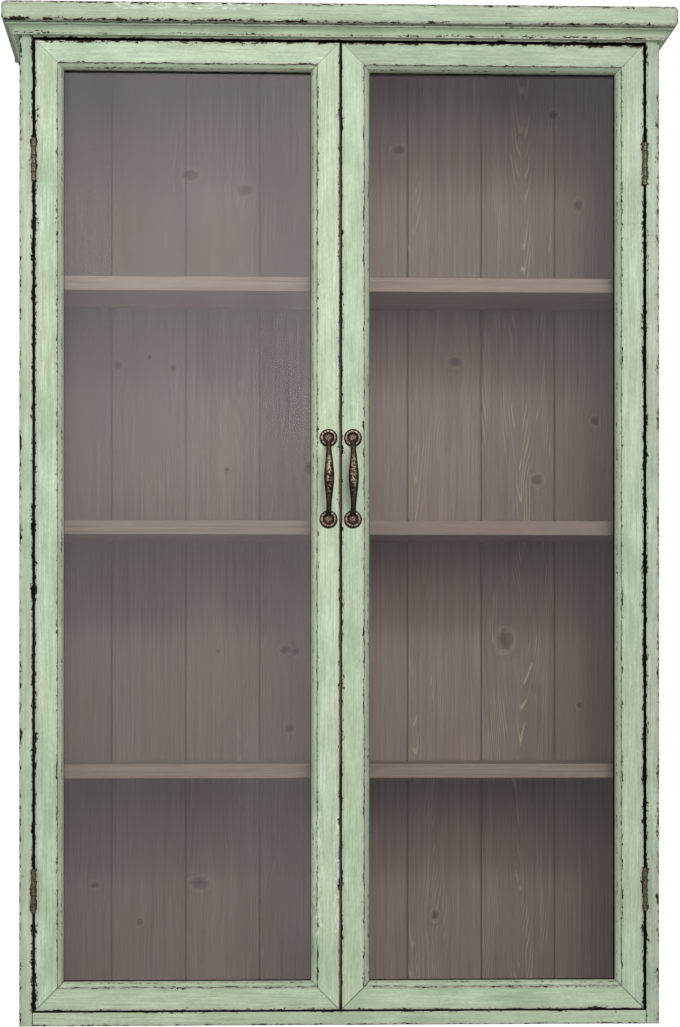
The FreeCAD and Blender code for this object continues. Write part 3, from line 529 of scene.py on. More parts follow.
def painted_pine(finish):
    """Chalky paint brushed on pine and rubbed through: satin, streaked along the grain, with
    ragged chips down to dark wood along the arrises, grime and painted shade in the creases,
    a painted highlight along the arrises and painted shade in the gaps beside the doors."""
    r, grain, arris, close, gap, crease, seam, shade, scuff = start_material(
        "brushed_and_chipped_paint_on_pine",
        "arris", "near", "gap", "crease", "seam", "shade", "scuff")
    # Brush marks are about 1.5 mm wide, clouds of thicker and thinner paint 30 to 150 mm.
    brush = r.marks(grain, 1.5, 55, 3.0, 0.6)
    cloud = r.marks(grain, 26, 70, 4.0, 0.62)
    wash = r.marks(grain, 110, 260)
    ragged = r.marks(grain, 2.1, 4.6, 4.0, 0.7)
    colour = linear(finish.paint_dark)
    for tint, *ramp in ((finish.paint_light, cloud, 0.34, 0.66),
                        (finish.paint_warm, wash, 0.4, 0.62, 0.0, 0.42)):
        colour = r.add("Mix", r.add("MapRange", *ramp, **SMOOTH), colour, linear(tint),
                       data_type="RGBA")
    level = r.add("Math", r.add("MapRange", brush, 0.3, 0.7, 0.82, 1.15), shade,
                  operation="MULTIPLY")
    uneven = r.add("MapRange", ragged, 0.36, 0.64, 0.94, 1.06, **SMOOTH)
    level = r.add("Math", level, uneven, operation="MULTIPLY")
    colour = r.add("VectorMath", colour, Scale=level, operation="SCALE")

    # Grime settles in the creases, more in some stretches than in others, and the creases are also
    # darkened as painted shade.
    smudge = r.marks(grain, 5, 22, 3.0, 0.6)
    grime = r.add("Math", r.both((crease, 0.5, 3.4, 0.5, 0.0), (smudge, 0.34, 0.6)),
                  r.both((crease, 0.1, 0.9, 0.85, 0.0), (smudge, 0.2, 0.5, 0.45)),
                  operation="MAXIMUM")
    # The paint is pale along every arris: rubbed, and a painted highlight where the edge catches
    # the light.
    rubbed = r.add("MapRange", close, 0.1, 1.5, 0.55, 0.0, **SMOOTH)
    # Soot and old wax stand in the creases and the open mitres as broken dark lines; in the creases
    # the dark lines are partly painted shade.
    soot_and_shade = r.both((crease, 1.0, 2.1, 0.95, 0.0), (r.marks(grain, 2.4, 8.0, 4.0, 0.72), 0.53, 0.58))
    line = r.both((seam, 0.2, 0.75, 0.92, 0.0), (wash, 0.4, 0.55, 0.35))
    # A rubbed band follows the worn arrises.
    band = r.both((arris, -1.0, 4.8, 0.75, 0.0), (ragged, 0.36, 0.6, 0.25))
    # Chips reach further from the arris where the coarse pattern is high.
    coarse = r.add("Math", r.marks(grain, 8.0, 26.0), 9.0, -4.5, operation="MULTIPLY_ADD")
    fine = r.add("Math", ragged, 17.0, -8.5, operation="MULTIPLY_ADD")
    reach = r.add("Math", coarse, fine, operation="ADD")
    inside = r.add("Math", reach, arris, operation="SUBTRACT")
    rim = r.both((inside, -1.1, -0.1, 0.0, 0.6), (inside, -0.05, 0.12, 1.0, 0.0))
    field = r.add("Math", r.marks(grain, 30, 60), 0.45, operation="MULTIPLY")
    rare = r.add("Math", r.marks(grain, 2.2, 4.2, 3.0, 0.6), field, operation="ADD")
    near = r.add("MapRange", arris, 0.5, 7.0, 0.15, 0.0, **SMOOTH)
    rare = r.add("Math", rare, near, operation="ADD")
    chip = r.add("Math", r.add("MapRange", inside, 0.0, 0.14, **SMOOTH),
                 r.add("MapRange", rare, 1.03, 1.045, **SMOOTH), operation="MAXIMUM")
    # White rubs show only where the piece says so.
    rubs = r.add("Math", r.marks(grain, 3.2, 10.0, 4.0, 0.7), scuff, operation="MULTIPLY")
    rubs = r.add("MapRange", rubs, 0.46, 0.56, 0.0, 0.7, **SMOOTH)
    fibre = r.add("MapRange", r.marks(grain, 0.9, 9, 3.0), 0.35, 0.65, **SMOOTH)
    wood = r.add("Mix", fibre, linear(finish.wood_dark), linear(finish.wood_worn),
                 data_type="RGBA")
    # Inside the gaps beside the doors, and a little way onto the faces, the paint is darkened
    # nearly to black: painted shade.
    gap_shade = r.both((gap, 0.15, 0.85, 0.0, 0.97), (gap, 12, 22, 1.0, 0.5))
    for cover, tint in ((grime, finish.grime), (rubbed, finish.paint_pale),
                        (soot_and_shade, finish.wood_dark), (line, finish.wood_dark),
                        (band, finish.paint_rubbed), (rim, finish.paint_pale),
                        (rubs, finish.paint_chalk), (chip, wood), (gap_shade, finish.gap_dirt)):
        tint = tint if tint is wood else linear(tint)
        colour = r.add("Mix", cover, colour, tint, data_type="RGBA")

    film = r.add("Math", chip, -0.32, operation="MULTIPLY")
    marks = r.add("Math", brush, 0.1, film, operation="MULTIPLY_ADD")
    swell = r.add("Math", cloud, 0.25, marks, operation="MULTIPLY_ADD")
    # Bare wood, the painted shade in the gaps and the soot and painted shade in the creases don't
    # shine.
    dull = r.add("Math", chip, gap_shade, operation="MAXIMUM")
    dull = r.add("Math", dull, soot_and_shade, operation="MAXIMUM")
    return r.finish(Base_Color=colour, Roughness=r.add("MapRange", chip, To_Min=0.52, To_Max=0.85),
                    Normal=r.add("Bump", Height=swell, Distance=MM, Strength=0.8),
                    Specular_IOR_Level=r.add("MapRange", dull, To_Min=0.5, To_Max=0.04))


def stained_pine(finish):
    """Knotty pine under a thin grey-brown stain: matt, with ring lines, darker knots whose grain
    flows round them, and pale streaks where the stain has not taken."""
    r, grain, knot, bend, tone, shade, crease, heart = start_material(
        "grey_stained_knotty_pine", "knot", "bend", "tone", "shade", "crease", "heart")
    u, v, w = r.add("SeparateXYZ", grain).node.outputs
    flow = r.add("CombineXYZ", r.add("Math", u, bend, operation="ADD"), v, w)

    # Growth rings: arches round the board's heart that crowd into lines beside it.
    off = r.add("Math", r.add("Math", heart, bend, operation="ADD"), operation="ABSOLUTE")
    crowd = r.add("Math", off, 1.5, operation="POWER")
    crowd = r.add("Math", crowd, -0.045, operation="MULTIPLY")
    arch = r.add("Math", w, 1 / 34, crowd, operation="MULTIPLY_ADD")
    place = r.add("Math", r.marks(flow, 30, 300), 9.0, arch, operation="MULTIPLY_ADD")
    ring = r.add("Math", place, operation="FRACT")
    late = r.both((ring, 0.0, 0.72), (ring, 0.86, 1.0, 1.0, 0.0))

    pores = r.marks(flow, 0.9, 60, 3.0, 0.6)
    cloud = r.marks(flow, 45, 150, 3.0, 0.55)
    lines = r.add("Math", late, r.add("MapRange", cloud, 0.35, 0.65, 0.1, 0.35),
                  operation="MULTIPLY")
    # Pale resin lines along the rings show most on boards of a high tone.
    pale = r.add("Math", r.both((tone, 0.4, 0.95), (r.marks(flow, 14, 120), 0.5, 0.6)),
                 r.both((ring, 0.7, 0.84), (ring, 0.88, 1.0, 0.7, 0.0)), operation="MULTIPLY")
    smear = r.add("MapRange", r.marks(flow, 3.0, 220, 4.0, 0.6), 0.3, 0.7, **SMOOTH)
    warm = r.add("MapRange", cloud, 0.35, 0.68, 0.0, 0.5, **SMOOTH)
    colour = linear(finish.stain_dark)
    for cover, tint in ((smear, finish.stain_light), (warm, finish.stain_warm),
                        (lines, finish.stain_dark), (pale, finish.stain_pale)):
        colour = r.add("Mix", cover, colour, linear(tint), data_type="RGBA")
    level = r.add("Math", r.add("MapRange", pores, 0.3, 0.7, 0.82, 1.15), shade,
                  operation="MULTIPLY")
    colour = r.add("VectorMath", colour, Scale=level, operation="SCALE")

    # Knots: a dark eye in a ring, with faint ripples outside. Then the boards' joints.
    uneven = r.add("Math", r.marks(flow, 4, 3, 4.0, 0.7), 1.2, knot, operation="MULTIPLY_ADD")
    radius = r.add("Math", uneven, 0.6, operation="SUBTRACT")
    ripple = r.add("Math", r.add("Math", radius, 9.0, operation="MULTIPLY"), operation="SINE")
    ripple = r.both((radius, 1.0, 2.2, 0.3, 0.0), (ripple, -0.2, 1.0))
    bark = r.both((radius, 0.75, 1.0), (radius, 1.05, 1.3, 0.14, 0.0))
    edge, eye, joint = (r.add("MapRange", *row, 0.0, **SMOOTH) for row in (
        (radius, 0.5, 0.92, 0.72), (radius, 0.1, 0.75, 0.6), (crease, 0.0, 1.4, 0.45)))
    for cover, tint in ((ripple, finish.knot_ring), (bark, finish.stain_pale),
                        (edge, finish.knot_ring), (eye, finish.knot_eye),
                        (joint, finish.knot_eye)):
        colour = r.add("Mix", cover, colour, linear(tint), data_type="RGBA")
    grown = r.add("Math", late, 0.12, operation="MULTIPLY")
    height = r.add("Math", pores, 0.18, grown, operation="MULTIPLY_ADD")
    return r.finish(Base_Color=colour, Roughness=0.62,
                    Normal=r.add("Bump", Height=height, Distance=MM, Strength=0.6))


def bare_wood(finish):
    """Bare beech and cut pine ends: pale, dry and matt, with short dark pores."""
    r, grain, crease, tone = start_material("bare_cut_wood", "crease", "tone")
    # Pores are drawn 1.6 mm wide, because real ones are too fine to show.
    pores = r.marks(grain, 1.6, 50, 4.0)
    broad = r.marks(grain, 16, 240, 3.0, Distortion=0.6)
    colour = r.add("Mix", pores, linear(finish.bare_dark), linear(finish.bare_light),
                   data_type="RGBA")
    level = r.add("MapRange", broad, 0.3, 0.7, 0.8, 1.05)
    level = r.add("Math", tone, 0.16, level, operation="MULTIPLY_ADD")
    joint = r.add("MapRange", crease, 0.4, 1.4, 0.35, 1.0)
    level = r.add("Math", level, joint, operation="MULTIPLY")
    return r.finish(Base_Color=r.add("VectorMath", colour, Scale=level, operation="SCALE"),
                    Roughness=r.add("MapRange", pores, To_Min=0.68, To_Max=0.82),
                    Normal=r.add("Bump", Height=pores, Distance=0.1 * MM, Strength=0.5))


def antique_bronze(finish):
    """Cast zinc plated in dark antique bronze and relieved by hand: nearly black in the hollows,
    with worn brown metal shining on the high spots."""
    r, grain, lift = start_material("relieved_antique_bronze_plate", "lift")
    # The relieved patches are about 1.1 mm across.
    mottle = r.add("TexNoise", grain, 0.9, 4.0, 0.7)
    high = r.add("Math", mottle, 1.5, lift, operation="MULTIPLY_ADD")
    worn = r.add("MapRange", high, 0.8, 1.5, **SMOOTH)
    colour = r.add("Mix", worn, linear(finish.bronze_dark), linear(finish.bronze_bright),
                   data_type="RGBA")
    return r.finish(Base_Color=colour, Metallic=0.92,
                    Roughness=r.add("MapRange", worn, To_Min=0.58, To_Max=0.3),
                    Normal=r.add("Bump", Height=mottle, Distance=0.12 * MM, Strength=0.6))


def plated_steel(name, code, rough):
    """Drawn or pressed steel with a thin bright plating: grey, with faint drawn lines and a soft
    mottled shine."""
    r, grain = start_material(name)
    # Drawn lines are 0.3 mm wide and 8 mm long, and the mottles of the shine 3 mm across.
    drawn = r.marks(grain, 1 / 3.0, 1 / 0.12, 3.0)
    bloom = r.add("TexNoise", grain, 0.35, 3.0)
    shade = r.add("MapRange", bloom, 0.3, 0.7, 0.75, 1.1)
    tint = r.add("VectorMath", linear(code)[:3], Scale=shade, operation="SCALE")
    return r.finish(Base_Color=tint, Metallic=1.0,
                    Roughness=r.add("MapRange", drawn, 0.3, 0.7, rough - 0.08, rough + 0.1),
                    Normal=r.add("Bump", Height=drawn, Distance=0.02 * MM, Strength=0.5))


def moulded_plastic(finish):
    """Brown ABS, injection moulded with a fine spark-eroded texture: even and softly shiny."""
    r, grain = start_material("spark_textured_brown_abs")
    # The spark marks are 0.45 mm across, and the clouds of its colour 10 mm.
    texture = r.add("TexNoise", grain, 2.2, 3.0)
    cloud = r.add("TexNoise", grain, 0.1, 2.0)
    shade = r.add("MapRange", cloud, To_Min=0.85, To_Max=1.15)
    tint = r.add("VectorMath", linear(finish.plastic)[:3], Scale=shade, operation="SCALE")
    return r.finish(Base_Color=tint, Roughness=0.45,
                    Normal=r.add("Bump", Height=texture, Distance=0.06 * MM, Strength=0.6))


def float_glass(finish):
    """Float glass with a dusty film: clear, greying what is behind it a little, with a painted
    shade along the edges where it meets its rebate and a painted sheen at low angles. Its
    cover is the film's, so that light still passes through."""
    r, grain, haze = start_material("dusty_float_glass", "haze")
    split = r.add("SeparateXYZ", r.add("Attribute", attribute_name="rim", out="Vector"))
    edge = r.add("Math", *split.node.outputs[:2], operation="MINIMUM")
    film = r.add("MapRange", r.marks(grain, 90, 160, 3.0, 0.55), 0.3, 0.7, 0.8, 1.2)
    cover = r.add("Math", film, haze, operation="MULTIPLY")
    # The film covers more at low angles: a painted sheen.
    facing = r.add("LayerWeight", 0.35, out="Fresnel")
    cover = r.add("Math", facing, 0.45, cover, operation="MULTIPLY_ADD")
    # The dark rim along the edges is painted shade.
    rim = r.add("MapRange", edge, 0.8, 1.5, 0.93, 0.0, **SMOOTH)
    cover = r.add("Math", cover, rim, operation="MAXIMUM")
    deep = r.add("MapRange", rim, From_Max=0.1)
    tint = r.add("Mix", deep, linear(finish.glass_film), linear(finish.glass_edge),
                 data_type="RGBA")
    return r.finish(Base_Color=tint, Roughness=0.12, Alpha=cover,
                    Specular_IOR_Level=r.add("MapRange", deep, To_Min=0.5, To_Max=0.05))


MATERIALS = {}


def materials():
    """Every material, made once."""
    if not MATERIALS:
        finish = bpy.context.scene.cupboard_finish
        MATERIALS.update(
            paint=painted_pine(finish), stain=stained_pine(finish), bare=bare_wood(finish),
            bronze=antique_bronze(finish), glass=float_glass(finish),
            plastic=moulded_plastic(finish),
            zinc=plated_steel("zinc_plated_steel", finish.zinc, 0.42),
            nickel=plated_steel("nickel_plated_steel", finish.nickel, 0.28),
            pin=plated_steel("darkened_drawn_steel", finish.pin, 0.45))
    return MATERIALS


# Sections and pieces

def member_corners(sizes, wear):
    """A door member's section, from its outer edge and its front, with its outer wear."""
    flat, sight = sizes.member_flat, sizes.member_flat + sizes.moulding_width
    quirk, setback = sizes.quirk_depth, sizes.glass_setback
    fall, thick = sizes.glass_setback - sizes.lip_thick, sizes.door_thick
    radius = math.hypot(sight - flat, fall - quirk)
    ovolo = [Corner(*spot) for spot in arc((flat, quirk), (sight, fall), radius, 8)]
    ovolo[3] = ovolo[3]._replace(wear=0.9, pace=1.4)
    return [
        Corner(0, 0, 1.2, wear, False, PAINT, 7.0),
        Corner(flat, 0, 0.35, 0.5, False, PAINT, 0.0, 1.5),
        Corner(flat, quirk, crease=True), *ovolo,
        # The lip's two creases take the grime and painted shade that darken the line along the
        # glass.
        Corner(sight, fall, 0.3, RARE, True), Corner(sight, setback, crease=True),
        Corner(flat, setback),
        Corner(flat, thick, 0.4, RARE), Corner(0, thick, 0.5, SLIGHT),
        Corner(0, sizes.mortise_width + 0.05), Corner(0, sizes.mortise_width),
    ]


def gap_at_edge(u, v, lip=EDGE_LIP):
    """How deep a point of a strip lies in the gap beside its u = 0 edge, counted from a
    little way onto its face."""
    on_face = np.clip(EDGE_STRIP + lip - u, 0, lip) * (v < EDGE_DEPTH)
    return np.where(u < EDGE_STRIP, v + lip, on_face)


def recesses(pattern, side, sizes, along):
    """The notches for a side's two hinge leaves, whose ends along gives from their heights."""
    boxes = [node_box(pattern.format(side, level)) for level in LEVELS]
    return [(*sorted((along(low[2]), along(high[2]))), sizes.mortise_depth, sizes.mortise_width)
            for low, high in boxes]


def frame_places(x, wide, foot, tall):
    """Where the four strips of an upright frame start, how long they are and how they point."""
    return {
        "left": ((x, foot), tall, ((1, 0, 0), (0, 1, 0), (0, 0, 1))),
        "top": ((x, foot + tall), wide, ((0, 0, -1), (0, 1, 0), (1, 0, 0))),
        "right": ((x + wide, foot + tall), tall, ((-1, 0, 0), (0, 1, 0), (0, 0, -1))),
        "bottom": ((x + wide, foot), wide, ((0, 0, 1), (0, 1, 0), (-1, 0, 0))),
    }


def islands(name):
    """The separate solids of a frame node, each as an array of points in millimetres."""
    # Points at one place count as one, and each edge joins two groups of them.
    mesh = frame["nodes"][name].data
    points = np.empty(len(mesh.vertices) * 3)
    mesh.vertices.foreach_get("co", points)
    points = points.reshape(-1, 3) / MM
    _, same = np.unique(np.round(points, 2), axis=0, return_inverse=True)
    same = same.ravel()
    group = np.arange(same.max() + 1)

    def root(item):
        while group[item] != item:
            group[item] = group[group[item]]
            item = group[item]
        return item

    for edge in mesh.edges:
        a, b = (root(same[v]) for v in edge.vertices)
        group[a] = b
    roots = np.array([root(item) for item in same])
    return [points[roots == item] for item in np.unique(roots)]


def fastener_part(solid, style, dice):
    """A turned fastener where the frame has one: screw, dome, nail, peg or dowel."""
    low, high = solid.min(0), solid.max(0)
    axis = int(np.argmax(high - low))
    across = [a for a in range(3) if a != axis]
    middle, length = (low + high) / 2, (high - low)[axis]
    along = solid[:, axis] - middle[axis]
    spread = np.hypot(*(solid[:, across] - middle[across]).T)
    ends = [spread[np.abs(solid[:, axis] - end[axis]) < 0.01].max() for end in (low, high)]
    head, shank = spread.max(), min(ends)
    if style == "dome":
        # Its crown is as narrow as its tip, so more of each end is measured.
        ends = [spread[along * way > length / 2 - 2.5].max() for way in (-1, 1)]
    direction = np.eye(3)[axis] * (1 if ends[1] >= ends[0] else -1)
    foot = middle - direction * length / 2
    side = np.eye(3)[across[0]]
    axes = (side, np.cross(direction, side), direction)
    turn = dice.uniform(0, math.pi)
    if style == "dome":
        deep, rises, sides, slot_share = 2.3, (0.0, 0.35, 0.6, 0.8, 0.92, 1.0), 56, 0.3
        shank, head = 1.9, head * 1.12
    else:
        deep, rises, sides, slot_share = 2.4, (0.0, 0.9, 0.97, 0.99, 1.0, 1.0), 36, 0.2
        deep = 0.7 if head < 3.5 else deep
    if style in ("screw", "dome"):
        profile = [(0.2, 0), (shank * 0.6, shank), (shank, shank * 2.4), (shank, length - deep)]
        profile += [(head * out, length - deep + deep * rise)
                    for out, rise in zip((1.0, 0.95, 0.83, 0.62, 0.35, 0.08), rises)]
        part = turned_part(profile, foot, axes, sides,
                           (turn, head * slot_share, min(deep * 0.5, 1.0)))
        part.values["lift"] = np.where(part.values["lift"] > length - deep * 0.75, 0.27, -0.3)
        return part
    # The nails' heads stand a little proud of the boards.
    sides, profile = {
        "nail": (16, ((0.1, 0), (shank, 2.2), (shank, length - 0.9),
                      (head * 0.96, length - 0.2), (head, length + 0.1),
                      (head * 0.9, length + 0.45), (0.3, length + 0.5))),
        "peg": (32, ((shank * 0.7, 0), (shank, 0.5), (shank, length / 2 - 0.1),
                     (head, length / 2), (head, length - 0.8), (head * 0.85, length - 0.2),
                     (0.4, length))),
        "dowel": (24, ((head * 0.75, 0), (head * 0.97, 1.2), (head * 0.97, length - 1.2),
                       (head * 0.75, length))),
    }[style]
    return turned_part(profile, foot, axes, sides)


def fasteners(name, style, kind):
    """Every fastener of a frame node, as one object."""
    dice = seed(name)
    dress(name, [fastener_part(solid, style, dice) for solid in islands(name)], (kind,), 40)


def knot_values(points):
    """How far each point is from a knot, in knot radii, and how the grain bends round it."""
    y = points[:, 1].min() * MM
    knot = np.full(len(points), 9.0)
    bend = np.zeros(len(points))
    for across, down, radius, stretch in KNOT_PIXELS:
        place = on_plane(across, down, y)
        dx, dz = points[:, 0] - place[0], points[:, 2] - place[2]
        wide = math.sqrt(stretch)
        knot = np.minimum(knot, np.hypot(dx / wide, dz * wide) / radius)
        bend -= dx * 0.6 * np.exp(-(dx / (radius * 2.2)) ** 2 - (dz / (radius * 4)) ** 2)
    return knot, bend


def on_plane(across, down, y):
    """Where a pixel of the photograph shows the plane at a given depth, in millimetres."""
    forward = Vector((math.sin(CAMERA_YAW) * math.cos(CAMERA_PITCH),
                      math.cos(CAMERA_YAW) * math.cos(CAMERA_PITCH), math.sin(CAMERA_PITCH)))
    right = Vector((math.cos(CAMERA_YAW), -math.sin(CAMERA_YAW), 0))
    up = right.cross(forward)
    ray = forward * FOCAL_PIXELS + right * (across - AIM_X_PIXEL) + up * (AIM_Y_PIXEL - down)
    return tuple((CAMERA_PLACE + ray * ((y - CAMERA_PLACE.y) / ray.y)) / MM)


# Sizes and colours

def metric(name, millimetres, description):
    """A length property with its default in millimetres."""
    return FloatProperty(name=name, description=description, default=millimetres * MM,
                         min=0, precision=4, subtype="DISTANCE", unit="LENGTH")


def hue(name, code, description):
    """A colour property with its default as sRGB hex."""
    return FloatVectorProperty(name=name, description=description, size=3, min=0, max=1,
                               default=from_hex(code), subtype="COLOR_GAMMA")


class CupboardSizes(bpy.types.PropertyGroup):
    """The lengths that the frame's boxes don't give."""

    door_thick: metric("Door thickness", 22, "Thickness of a door's members")
    member_flat: metric("Member flat", 26.5, "Width of a member's flat face")
    moulding_width: metric("Moulding width", 7, "Width of the ovolo inside the flat")
    quirk_depth: metric("Quirk depth", 1.4, "Step between the flat and the ovolo")
    glass_setback: metric("Glass setback", 15, "Depth from the door's front to the glass")
    lip_thick: metric("Lip", 1.2, "Square edge between the ovolo and the glass")
    mortise_width: metric("Mortise width", 11.3, "How far a hinge leaf's recess runs back")
    mortise_depth: metric("Mortise depth", 1.7, "How deep a hinge leaf's recess is")
    arris_radius: metric("Arris", 1.2, "Radius of the boards' worn arrises")
    top_radius: metric("Top board radius", 3.5, "Rounding of the top board's edges")
    rebate_width: metric("Rebate width", 8, "Width of the rebate for the back boards")
    board_bevel: metric("Board bevel", 1.3, "Bevel along the back boards' front edges")
    tongue_length: metric("Tongue length", 3.6, "How far a back board's tongue stands out")
    tongue_thick: metric("Tongue thickness", 5, "Thickness of a back board's tongue")
    crown_foot: metric("Crown foot", 6.5, "Width of the crown moulding's foot")
    crown_fillet: metric("Crown fillet", 2.7, "Height of the crown moulding's top fillet")
    crown_step: metric("Crown step", 1.2, "Step under the crown moulding's fillet")
    crown_rise: metric("Crown rise", 1.6, "Height of the crown moulding's foot")
    knuckle_radius: metric("Knuckle radius", 2.7, "Radius of the hinges' knuckles")
    plate_thick: metric("Plate thickness", 1.2, "Thickness of the leaves and strike plates")
    ear_thick: metric("Ear thickness", 2.4, "Thickness of the catches' ears")
    catch_body: metric("Catch body", 24, "Length of a catch's body between its ears")
    pull_pitch: metric("Pull pitch", 96, "Distance between a pull's screws")
    pull_standoff: metric("Pull standoff", 24, "How far a pull's grip stands out")
    grip_width: metric("Grip width", 12.2, "Widest part of a pull's grip")
    rosette_radius: metric("Rosette radius", 10.65, "Radius of a pull's rosettes")
    recess_radius: metric("Recess radius", 6, "Radius of the dish for a pull's screw")
    hammer_depth: metric("Hammer marks", 0.32, "Depth of the marks on a pull's grip")


class CupboardFinish(bpy.types.PropertyGroup):
    """The colours of the finishes."""

    paint_light: hue("Paint, light", "#C9DDC0", "Pale mint of a thick coat")
    paint_dark: hue("Paint, dark", "#B0C6A6", "Greener mint of a thin coat")
    paint_warm: hue("Paint, warm", "#C3CDA9", "Yellowed paint")
    # Also the colour of the painted highlight along the arrises.
    paint_pale: hue("Paint, pale", "#DCDCCB", "Pale paint beside the chips")
    paint_rubbed: hue("Paint, rubbed", "#A8A38C", "Paint rubbed thin along the arrises")
    paint_chalk: hue("Paint, chalky", "#E6F0E0", "White rubs on the paint")
    # Painted shade inside the gaps beside the doors.
    gap_dirt: hue("Gap dirt", "#070504", "Dirt inside the gaps beside the doors")
    # Also the colour of the painted shade in the creases.
    grime: hue("Grime", "#4E5640", "Dirt and old wax in the creases")
    wood_dark: hue("Chipped wood, dark", "#110D07", "Darkest wood under the chips")
    wood_worn: hue("Chipped wood, worn", "#463829", "Rubbed wood under the chips")
    stain_dark: hue("Stain, dark", "#807067", "Late wood under the stain")
    stain_light: hue("Stain, light", "#95887E", "Early wood under the stain")
    stain_warm: hue("Stain, warm", "#948170", "Browner stretches of the stain")
    stain_pale: hue("Stain, pale", "#D6C2A4", "Wood that the stain has missed")
    knot_ring: hue("Knot, ring", "#5E4F45", "Ring around a knot")
    knot_eye: hue("Knot, eye", "#352B25", "Heart of a knot")
    bare_light: hue("Bare wood, light", "#D9BE94", "Cut wood")
    bare_dark: hue("Bare wood, dark", "#B7935F", "Pores of cut wood")
    # Also the colour of the painted sheen and reflection on the glass.
    glass_film: hue("Glass film", "#B3A9AB", "Dust on the glass")
    glass_edge: hue("Glass edge", "#12130F", "Shade where the glass meets its rebate")
    bronze_dark: hue("Bronze, dark", "#2F241A", "Plating in the hollows")
    bronze_bright: hue("Bronze, worn", "#B9A690", "Metal worn bright")
    zinc: hue("Zinc", "#A8A6A0", "Zinc plating")
    nickel: hue("Nickel", "#B3B0A8", "Nickel plating")
    pin: hue("Hinge pin", "#7D736A", "Darkened steel")
    plastic: hue("Plastic", "#4A3B30", "Brown plastic of the catches")


def lengths(context):
    """The cupboard's sizes in millimetres."""
    sizes = context.scene.cupboard_sizes
    return SimpleNamespace(**{name: getattr(sizes, name) / MM
                              for name in CupboardSizes.__annotations__})


# Operators

class CUPBOARD_OT_stage(bpy.types.Operator):
    """Add the camera of the photograph, a white floor and surroundings, and the light"""

    bl_idname = "cupboard.stage"
    bl_label = "Stage"

    def execute(self, context):
        scene = context.scene
        scene.view_settings.view_transform = "Standard"
        camera = bpy.data.objects.new("camera", bpy.data.cameras.new("camera"))
        scene.collection.objects.link(camera)
        camera.location = CAMERA_PLACE
        camera.rotation_euler = (math.radians(90) + CAMERA_PITCH, 0, -CAMERA_YAW)
        camera.data.sensor_width = SENSOR
        camera.data.lens = FOCAL_PIXELS / PHOTO_HEIGHT * SENSOR
        camera.data.shift_x = (PHOTO_WIDTH / 2 - AIM_X_PIXEL) / PHOTO_HEIGHT
        camera.data.shift_y = (AIM_Y_PIXEL - PHOTO_HEIGHT / 2) / PHOTO_HEIGHT
        camera.data.clip_end = 60
        scene.camera = camera

        sky = Recipe(bpy.data.worlds.new("white_surroundings"))
        scene.world = sky.owner
        rays = sky.add("LightPath").node.outputs
        seen = rays["Is Camera Ray"]
        for kind in ("Is Glossy Ray", "Is Transmission Ray"):
            seen = sky.add("Math", seen, rays[kind], operation="MAXIMUM")
        sky.finish(Color=linear("#FFFFFF"),
                   Strength=sky.add("MapRange", seen, To_Min=0.2, To_Max=1.0))

        # The paper's fibres are drawn about 1.1 mm wide, because real ones are too fine to show.
        paper = Recipe(bpy.data.materials.new("matt_white_paper"))
        fibre = paper.add("TexNoise", paper.add("TexCoord", out="Object"), 0.9 / MM, 2.0)
        glow = paper.add("Math", paper.add("LightPath", out="Is Camera Ray"), 0.88,
                         operation="MULTIPLY")
        paper.finish(Base_Color=linear("#AAAAAA"), Roughness=0.9, Emission_Color=linear("#FFFFFF"),
                     Normal=paper.add("Bump", Height=fibre, Distance=0.1 * MM, Strength=0.2),
                     Emission_Strength=glow)
        count, reach = 24, 9000
        line = np.linspace(-reach, reach, count + 1)
        spots = np.arange((count + 1) ** 2).reshape(count + 1, -1)
        faces = np.stack((spots[:-1, :-1], spots[:-1, 1:], spots[1:, 1:], spots[1:, :-1]), -1)
        write_mesh("floor", [(x, y, -0.5) for y in line for x in line],
                            faces.reshape(-1, 4).tolist(), [paper.owner])

        for name, spot, size, power in (("key", (0.7, -4.0, 2.1), (2.6, 2.6), 85),
                                        ("fill", (-3.0, -2.9, 1.5), (1.8, 1.8), 34),
                                        ("spot", (0.5, -4.2, 2.95), (0.35, 0.35), 26),
                                        ("rear", (1.6, 3.6, 2.2), (2.4, 2.4), 60)):
            lamp = bpy.data.lights.new(name, "AREA")
            lamp.shape = "RECTANGLE"
            lamp.size, lamp.size_y = size
            lamp.energy = power
            holder = bpy.data.objects.new(name, lamp)
            scene.collection.objects.link(holder)
            holder.location = spot
            aim = LIT_PLACE - holder.location
            holder.rotation_euler = aim.to_track_quat("-Z", "Y").to_euler()
        return {"FINISHED"}


